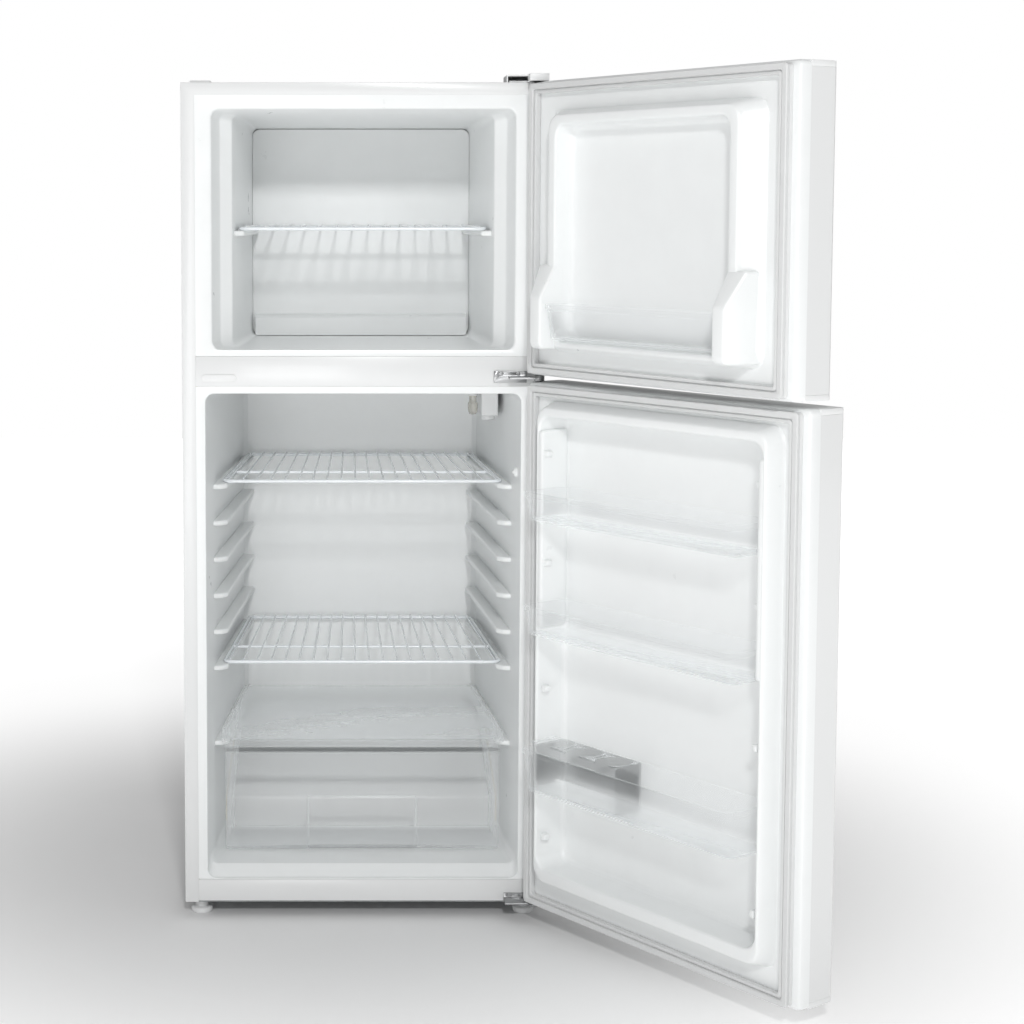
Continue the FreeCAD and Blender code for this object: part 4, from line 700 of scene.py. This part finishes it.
class REFRIGERATOR_OT_door_liners(bpy.types.Operator):
    """Draw each door's inner skin: the rim, the raised dyke and the recess inside it"""

    bl_idname = "refrigerator.door_liners"
    bl_label = "Door linings"

    def execute(self, context):
        for door in DYKES:
            self.make_rim(door)
            self.make_dyke(door)
        self.make_arms()
        self.make_steps()
        self.make_pegs()
        return {"FINISHED"}

    def make_rim(self, door):
        """The flat band round the door that carries the seal."""
        low, high = shut_box(f"{door}_caps", door)
        rim = high.y
        inner = shut_box(f"{door}_gasket", door)[0].y
        spec = DYKES[door]
        half = spec["half"] * MM
        steps = ((rim, 0), (inner - 7 * MM, 0), (inner - 2 * MM, 1.5 * MM), (inner, 6 * MM))
        rings = [(y, (low.x + e, high.x - e), (low.z + e, high.z - e)) for y, e in steps]
        hole = ((-half, half), (spec["low"] * MM, spec["high"] * MM))
        rings += [(inner, *hole), (rim, *hole)]
        piece = draw_rings(f"{door}_rim", "y", rings, corner=7 * MM, segments=6)
        point_cap(piece, "y", rim, -1)
        remove_faces(piece, facing("y", 0, rim))
        close_piece(piece, f"{door}_liner", door, soft=1.2 * MM)

    def make_dyke(self, door):
        """The raised frame, its tip rounded over, and the recess for the bins."""
        spec = DYKES[door]
        inner = shut_box(f"{door}_gasket", door)[0].y
        tip = FRONT + spec["tip"] * MM
        floor = inner - spec["deep"] * MM

        def ring(y, half, low, high, out, lean=0):
            """A ring this far outside the given one, its two sides leaning in."""
            return (y, both(half + out - lean), ((low - out) * MM, (high + out) * MM))

        outer = (spec["half"], spec["low"], spec["high"])
        recess = (spec["recess"], spec["recess_low"], spec["recess_high"])
        lean = spec["lean"]
        rings = [
            ring(inner - 3 * MM, *outer, 7), ring(inner, *outer, 5),
            ring(inner + 4 * MM, *outer, 2.4), ring(tip - 7 * MM, *outer, -2, lean),
            ring(tip - 2 * MM, *outer, -4, lean), ring(tip, *outer, -6, lean),
            ring(tip, *recess, 2), ring(tip - 3 * MM, *recess, 0),
            ring(floor + 9 * MM, *recess, -1), ring(floor + 2.5 * MM, *recess, -4),
            ring(floor, *recess, -9),
        ]
        piece = draw_rings(f"{door}_dyke", "y", rings, corner=26 * MM, segments=10)
        point_cap(piece, "y", floor, 1)
        remove_faces(piece, facing("y", 0, rings[0][0]))
        close_piece(piece, f"{door}_liner", door, soft=1.6 * MM, segments=2, wall=settings().sheet,
                    angle=18)

    def make_arms(self):
        """The parts of the freezer door's dyke that stand further in, beside its bin."""
        inner = shut_box("freezer_door_gasket", "freezer_door")[0].y
        foot, low, shoulder, top = inner - 2 * MM, 972 * MM, 1054 * MM, 1106 * MM
        line = [(foot, low), (deep(41), low), (deep(47), low + 8 * MM), (deep(47), shoulder),
                (deep(17), top), (foot, top)]
        arm = draw_outline("freezer_door_arm_1", "x", line, 194.5 * MM, 235 * MM)
        pick(arm, "VERT", lambda v: v.co.x > 230 * MM and v.co.y > deep(30))
        move((-14 * MM, 0, 0))
        close_piece(arm, "freezer_door_liner", soft=7 * MM, segments=5, angle=25)
        other = copy_piece(arm, "freezer_door_arm_2", mirror=True)
        finish_piece(other, "freezer_door_liner")
        for piece in (arm, other):
            open_with(piece, "freezer_door")

    def make_steps(self):
        """The thicker upper stretch of the fridge door's side walls."""
        inner = shut_box("fridge_door_gasket", "fridge_door")[0].y
        low = (229.5 * MM, inner - 26 * MM, 515 * MM)
        high = (242.5 * MM, deep(16), 838 * MM)
        step = start_box("fridge_door_step_1", low, high)
        close_piece(step, "fridge_door_liner", soft=5 * MM, segments=4)
        other = copy_piece(step, "fridge_door_step_2", mirror=True)
        finish_piece(other, "fridge_door_liner")
        for piece in (step, other):
            open_with(piece, "fridge_door")

    def make_pegs(self):
        """Small pegs up the fridge door's side walls, on which the bins can hang."""
        inner = shut_box("fridge_door_gasket", "fridge_door")[0].y
        end, middle = 222.5 * MM, inner + 19 * MM
        low, high = (end, middle - 7 * MM, -6 * MM), (232 * MM, middle + 7 * MM, 6 * MM)
        peg = start_box("bin_peg", low, high)
        pick(peg, "FACE", facing("x", -1))
        bpy.ops.transform.resize(value=(1, 0.8, 0.75), center_override=(end, middle, 0))
        close_piece(peg, "fridge_door_liner", soft=2 * MM)
        for number, height in enumerate((168, 415, 622, 800), start=1):
            for side in ("right", "left"):
                piece = copy_piece(peg, f"bin_peg_{side}_{number}", (0, 0, height * MM),
                                   mirror=side == "left")
                finish_piece(piece, "fridge_door_liner")
                open_with(piece, "fridge_door")
        bpy.data.objects.remove(peg)


class REFRIGERATOR_OT_door_foam(bpy.types.Operator):
    """Fill each door between its steel pan and its lining"""

    bl_idname = "refrigerator.door_foam"
    bl_label = "Door foam"

    def execute(self, context):
        for door in DYKES:
            low, high = shut_box(f"{door}_panel", door)
            inner = shut_box(f"{door}_gasket", door)[0].y
            gap = 1.4 * MM
            steps = ((low.y + gap, 8 * MM), (low.y + 9 * MM, gap), (high.y, gap),
                     (inner - (DYKES[door]["deep"] + 5) * MM, 5 * MM))
            rings = [(y, (low.x + e, high.x - e), (low.z + e, high.z - e)) for y, e in steps]
            core = draw_rings(f"{door}_core", "y", rings, corner=4 * MM, segments=3)
            point_cap(core, "y", rings[-1][0], 1)
            close_piece(core, f"{door}_foam", door, soft=1 * MM)
        return {"FINISHED"}


class REFRIGERATOR_OT_seals(bpy.types.Operator):
    """Draw the doors' magnetic seals as ribbed frames"""

    bl_idname = "refrigerator.seals"
    bl_label = "Door seals"

    def execute(self, context):
        for door in DYKES:
            self.make_seal(door)
        return {"FINISHED"}

    def make_seal(self, door):
        """A tube with a flat face, a groove and a thin inner lip."""
        low, high = shut_box(f"{door}_gasket", door)
        # how far in from the outer edge, and how far down from the face, in millimetres
        section = ((0.6, 13.4), (2.2, 9), (0.2, 4.6), (0, 1.2), (1.2, 0), (8.6, 0), (9.6, 1.1),
                   (9.8, 4.4), (11.2, 4.6), (11.6, 2.2), (12.8, 1.4), (16, 1.6), (17, 3.2),
                   (16.4, 9), (15.2, 13.4))
        rings = [
            (high.y - down * MM, (low.x + e * MM, high.x - e * MM),
             (low.z + e * MM, high.z - e * MM))
            for e, down in section
        ]
        piece = draw_rings(f"{door}_seal", "y", rings, corner=5 * MM, segments=4)
        point_cap(piece, "y", rings[-1][0], 1)
        remove_faces(piece, facing("y", 0, rings[0][0]))
        close_piece(piece, f"{door}_gasket", door)


class REFRIGERATOR_OT_door_bins(bpy.types.Operator):
    """Mould the clear bins that hang in the doors"""

    bl_idname = "refrigerator.door_bins"
    bl_label = "Door bins"

    def execute(self, context):
        for node, door in (("freezer_door_bin", "freezer_door"), ("upper_door_bin", "fridge_door"),
                           ("middle_door_bin", "fridge_door"), ("lower_door_bin", "fridge_door")):
            self.make_bin(node, door)
        return {"FINISHED"}

    def make_bin(self, node, door):
        """A tub that widens to a rolled rim."""
        low, high = shut_box(node, door)

        def ring(z, side, back, front):
            return (z, (low.x + side * MM, high.x - side * MM),
                    (low.y + back * MM, high.y - front * MM))

        rings = [
            ring(low.z, 4.4, 2.4, 10.4), ring(high.z - 9 * MM, 2.2, 1.2, 3.2),
            ring(high.z - 8.2 * MM, 0, 0, 0.6), ring(high.z, 0, 0, 0),
            ring(high.z, 2.4, 2.4, 2.4), ring(high.z - 5 * MM, 4.4, 3.4, 5.4),
            ring(low.z + 3 * MM, 6.6, 4.8, 12.6),
        ]
        tub = draw_rings(f"{node}_tub", "z", rings, corner=14 * MM, segments=8)
        point_cap(tub, "z", rings[0][0], -1)
        close_piece(tub, node, door, soft=0.9 * MM, segments=2)


class REFRIGERATOR_OT_crisper(bpy.types.Operator):
    """Mould the clear crisper drawer with its finger pull and its front lip"""

    bl_idname = "refrigerator.crisper"
    bl_label = "Crisper drawer"

    def execute(self, context):
        low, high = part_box("crisper_drawer")
        near, top = deep(92), high.z
        line = [(near, low.z), (deep(222), low.z), (deep(222), 150 * MM), (deep(368), 252 * MM),
                (deep(452), 256 * MM), (deep(452), top), (near, top)]
        half = high.x
        piece = draw_outline("crisper_tub", "x", line, -half, half)
        self.make_pull(piece, near)
        taper(piece, lambda y: half - max(0.0, y - deep(112)) * 0.0623)
        remove_faces(piece, facing("z", 1, top))
        close_piece(piece, "crisper_drawer", soft=6 * MM, segments=4, wall=settings().bin_wall)
        lip = start_box("crisper_lip", (-half, low.y, top - 8 * MM), (half, near + 1 * MM, top))
        pick(lip, "FACE", facing("y", -1))
        bpy.ops.mesh.inset(thickness=1.6 * MM)
        move((0, 1 * MM, 0))
        close_piece(lip, "crisper_drawer", soft=0.8 * MM)
        return {"FINISHED"}

    def make_pull(self, piece, near):
        """Push a recess into the lower half of the front, for the fingers."""
        half, low, high = 94 * MM, 92 * MM, 180 * MM
        sideways, up = (1, 0, 0), (0, 0, 1)
        for normal, place in ((sideways, -half), (sideways, half), (up, low), (up, high)):
            bpy.ops.mesh.select_all(action="SELECT")
            bpy.ops.mesh.bisect(plane_co=Vector(normal) * place, plane_no=normal)

        def in_pull(face):
            at = face.calc_center_median()
            return facing("y", 0, near)(face) and abs(at.x) < half and low < at.z < high

        pick(piece, "FACE", in_pull)
        bpy.ops.mesh.extrude_region_move(TRANSFORM_OT_translate={"value": (0, 14 * MM, 0)})
        bpy.ops.transform.resize(value=(0.97, 1, 0.94), center_override=(0, near, 100 * MM))
        bpy.ops.mesh.select_all(action="SELECT")
        bpy.ops.mesh.normals_make_consistent(inside=False)


class REFRIGERATOR_OT_fittings(bpy.types.Operator):
    """Break the sharp edges of the small pressed and moulded fittings"""

    bl_idname = "refrigerator.fittings"
    bl_label = "Small fittings"

    # node, the width of its broken edges in millimetres and how many facets they have
    EDGES = (
        ("outer_cabinet_shell", 0.45, 2), ("divider_rail", 0.6, 2), ("base_rail", 0.6, 2),
        ("hinge_hole_covers", 0.7, 3), ("top_hinge", 0.5, 2), ("top_hinge_cover", 1.2, 3),
        ("middle_hinge", 0.5, 2), ("bottom_hinge", 0.5, 2), ("hinge_screws", 0.6, 3),
        ("thermostat_housing", 2.2, 4), ("thermostat_dial", 0.5, 2), ("crisper_cover", 0.7, 2),
        ("bottle_holder", 0.7, 2), ("freezer_back_cover", 2.5, 4), ("freezer_door_handle", 3, 4),
        ("fridge_door_handle", 3, 4), ("power_inlet", 1, 2), ("drip_tray", 0.6, 2),
        ("freezer_door_caps", 0.8, 2), ("fridge_door_caps", 0.8, 2), ("front_left_foot", 0.8, 2),
        ("front_right_foot", 0.8, 2), ("light_switch_button", 0.5, 2), ("compressor", 2, 3),
    )

    def execute(self, context):
        for node, width, segments in self.EDGES:
            self.soften(node, width * MM, segments)
        return {"FINISHED"}

    def soften(self, node, width, segments):
        """Copy a node's mesh, merge its loose faces and bevel its sharp edges."""
        piece = frame["nodes"][node].copy()
        piece.data = piece.data.copy()
        bpy.context.collection.objects.link(piece)
        piece.name = piece.data.name = f"{node}_finished"
        make_only(piece)
        bpy.ops.object.mode_set(mode="EDIT")
        bpy.ops.mesh.select_all(action="SELECT")
        bpy.ops.mesh.remove_doubles(threshold=0.00002)
        bpy.ops.mesh.dissolve_limited(angle_limit=math.radians(0.5))
        make_only(piece)
        apply_modifier(piece, "BEVEL", width=width, segments=segments, limit_method="ANGLE",
                       angle_limit=math.radians(35), use_clamp_overlap=True)
        bpy.ops.object.shade_smooth_by_angle(angle=SMOOTH_ANGLE)
        finish_piece(piece, node)


class REFRIGERATOR_OT_stage(bpy.types.Operator):
    """Make the floor, the lights and the camera"""

    bl_idname = "refrigerator.stage"
    bl_label = "Stage"

    def execute(self, context):
        self.make_floor()
        self.make_lights()
        self.make_camera()
        return {"FINISHED"}

    def make_floor(self):
        """Pale paper, with a glow that grows away from the object and clears its far shade."""
        floor = start_box("studio_floor", (-7, -7, -0.02), (7, 7, 0))
        bpy.ops.object.mode_set(mode="OBJECT")
        material, tree, out = blank_material("studio_paper")
        place = add_node(tree, "ShaderNodeTexCoord").outputs["Object"]
        away = add_node(tree, "ShaderNodeVectorMath", {0: place}, operation="LENGTH")
        near = add_node(tree, "ShaderNodeMapRange", {
            "Value": away.outputs["Value"], "From Min": 0.4, "From Max": 1.5, "To Min": 0.0,
            "To Max": 0.5}, interpolation_type="SMOOTHSTEP")
        far = add_node(tree, "ShaderNodeMapRange", {
            "Value": away.outputs["Value"], "From Min": 1.0, "From Max": 4.0, "To Min": 0.0,
            "To Max": 0.4}, interpolation_type="SMOOTHSTEP")
        glow = add_node(tree, "ShaderNodeMath", {
            0: near.outputs["Result"], 1: far.outputs["Result"]}, operation="ADD")
        skin = add_node(tree, "ShaderNodeBsdfPrincipled", {
            "Base Color": (0.9, 0.9, 0.9, 1), "Roughness": 0.8,
            "Emission Color": WHITE, "Emission Strength": glow.outputs["Value"]})
        tree.links.new(skin.outputs["BSDF"], out.inputs["Surface"])
        floor.data.materials.append(material)

    def make_lights(self):
        """A pale room that shows white behind the object, a small high key and a broad fill."""
        world = bpy.data.worlds.new("studio_air")
        world.use_nodes = True
        tree = world.node_tree
        tree.nodes.clear()
        ray = add_node(tree, "ShaderNodeLightPath")
        way = add_node(tree, "ShaderNodeTexCoord").outputs["Generated"]
        height = add_node(tree, "ShaderNodeSeparateXYZ", {"Vector": way}).outputs["Z"]
        glow = add_node(tree, "ShaderNodeMapRange", {
            "Value": height, "From Min": 0.0, "From Max": 1.0, "To Min": 0.16, "To Max": 0.6})
        strength = add_node(tree, "ShaderNodeMapRange", {
            "Value": ray.outputs["Is Camera Ray"], "To Min": glow.outputs["Result"],
            "To Max": 1.0})
        air = add_node(tree, "ShaderNodeBackground", {
            "Color": WHITE, "Strength": strength.outputs["Result"]})
        sky = add_node(tree, "ShaderNodeOutputWorld")
        tree.links.new(air.outputs["Background"], sky.inputs["Surface"])
        bpy.context.scene.world = world
        self.add_lamp("key_lamp", (0.2, -4.2, 2.6), (0, -0.2, 0.75), 0.3, 50)
        self.add_lamp("fill_lamp", (-0.7, -3.8, 0.6), (0, -0.2, 0.4), 1.2, 17)

    def add_lamp(self, name, place, aim, size, power):
        """A square lamp of this size, in metres, and power, in watts, turned towards a point."""
        bpy.ops.object.light_add(type="AREA", location=place)
        lamp = bpy.context.object
        lamp.name = name
        lamp.data.size = size
        lamp.data.energy = power
        lamp.rotation_euler = (Vector(aim) - Vector(place)).to_track_quat("-Z", "Y").to_euler()

    def make_camera(self):
        """A long lens in front of the cabinet, at chest height, looking slightly down."""
        look_down = 4.97
        bpy.ops.object.camera_add(location=(-0.042, -3.651, 1.188))
        camera = bpy.context.object
        camera.name = "studio_camera"
        camera.rotation_euler = (math.radians(90 - look_down), 0, 0)
        camera.data.sensor_width = 36
        camera.data.lens = settings().focal_length
        camera.data.shift_x = 0.17
        camera.data.shift_y = -0.12
        camera.data.clip_end = 50
        bpy.context.scene.camera = camera
        bpy.context.scene.view_settings.view_transform = "Standard"


class REFRIGERATOR_PT_panel(bpy.types.Panel):
    """The sidebar's list of the refrigerator's pieces"""

    bl_idname = "REFRIGERATOR_PT_panel"
    bl_label = "Refrigerator"
    bl_space_type = "VIEW_3D"
    bl_region_type = "UI"
    bl_category = "Refrigerator"

    def draw(self, context):
        for name in RefrigeratorSettings.__annotations__:
            self.layout.prop(context.scene.refrigerator, name)
        for operator in OPERATORS:
            self.layout.operator(operator.bl_idname)


OPERATORS = (
    REFRIGERATOR_OT_finishes,
    REFRIGERATOR_OT_freezer_liner,
    REFRIGERATOR_OT_fridge_liner,
    REFRIGERATOR_OT_door_liners,
    REFRIGERATOR_OT_door_foam,
    REFRIGERATOR_OT_seals,
    REFRIGERATOR_OT_door_bins,
    REFRIGERATOR_OT_crisper,
    REFRIGERATOR_OT_fittings,
    REFRIGERATOR_OT_stage,
)
CLASSES = (RefrigeratorSettings, *OPERATORS, REFRIGERATOR_PT_panel)


def register():
    for cls in CLASSES:
        bpy.utils.register_class(cls)
    bpy.types.Scene.refrigerator = bpy.props.PointerProperty(type=RefrigeratorSettings)


def unregister():
    del bpy.types.Scene.refrigerator
    for cls in reversed(CLASSES):
        bpy.utils.unregister_class(cls)


def main():
    """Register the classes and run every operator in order."""
    register()
    for operator in OPERATORS:
        group, name = operator.bl_idname.split(".")
        getattr(getattr(bpy.ops, group), name)()


if __name__ == "__main__":
    main()
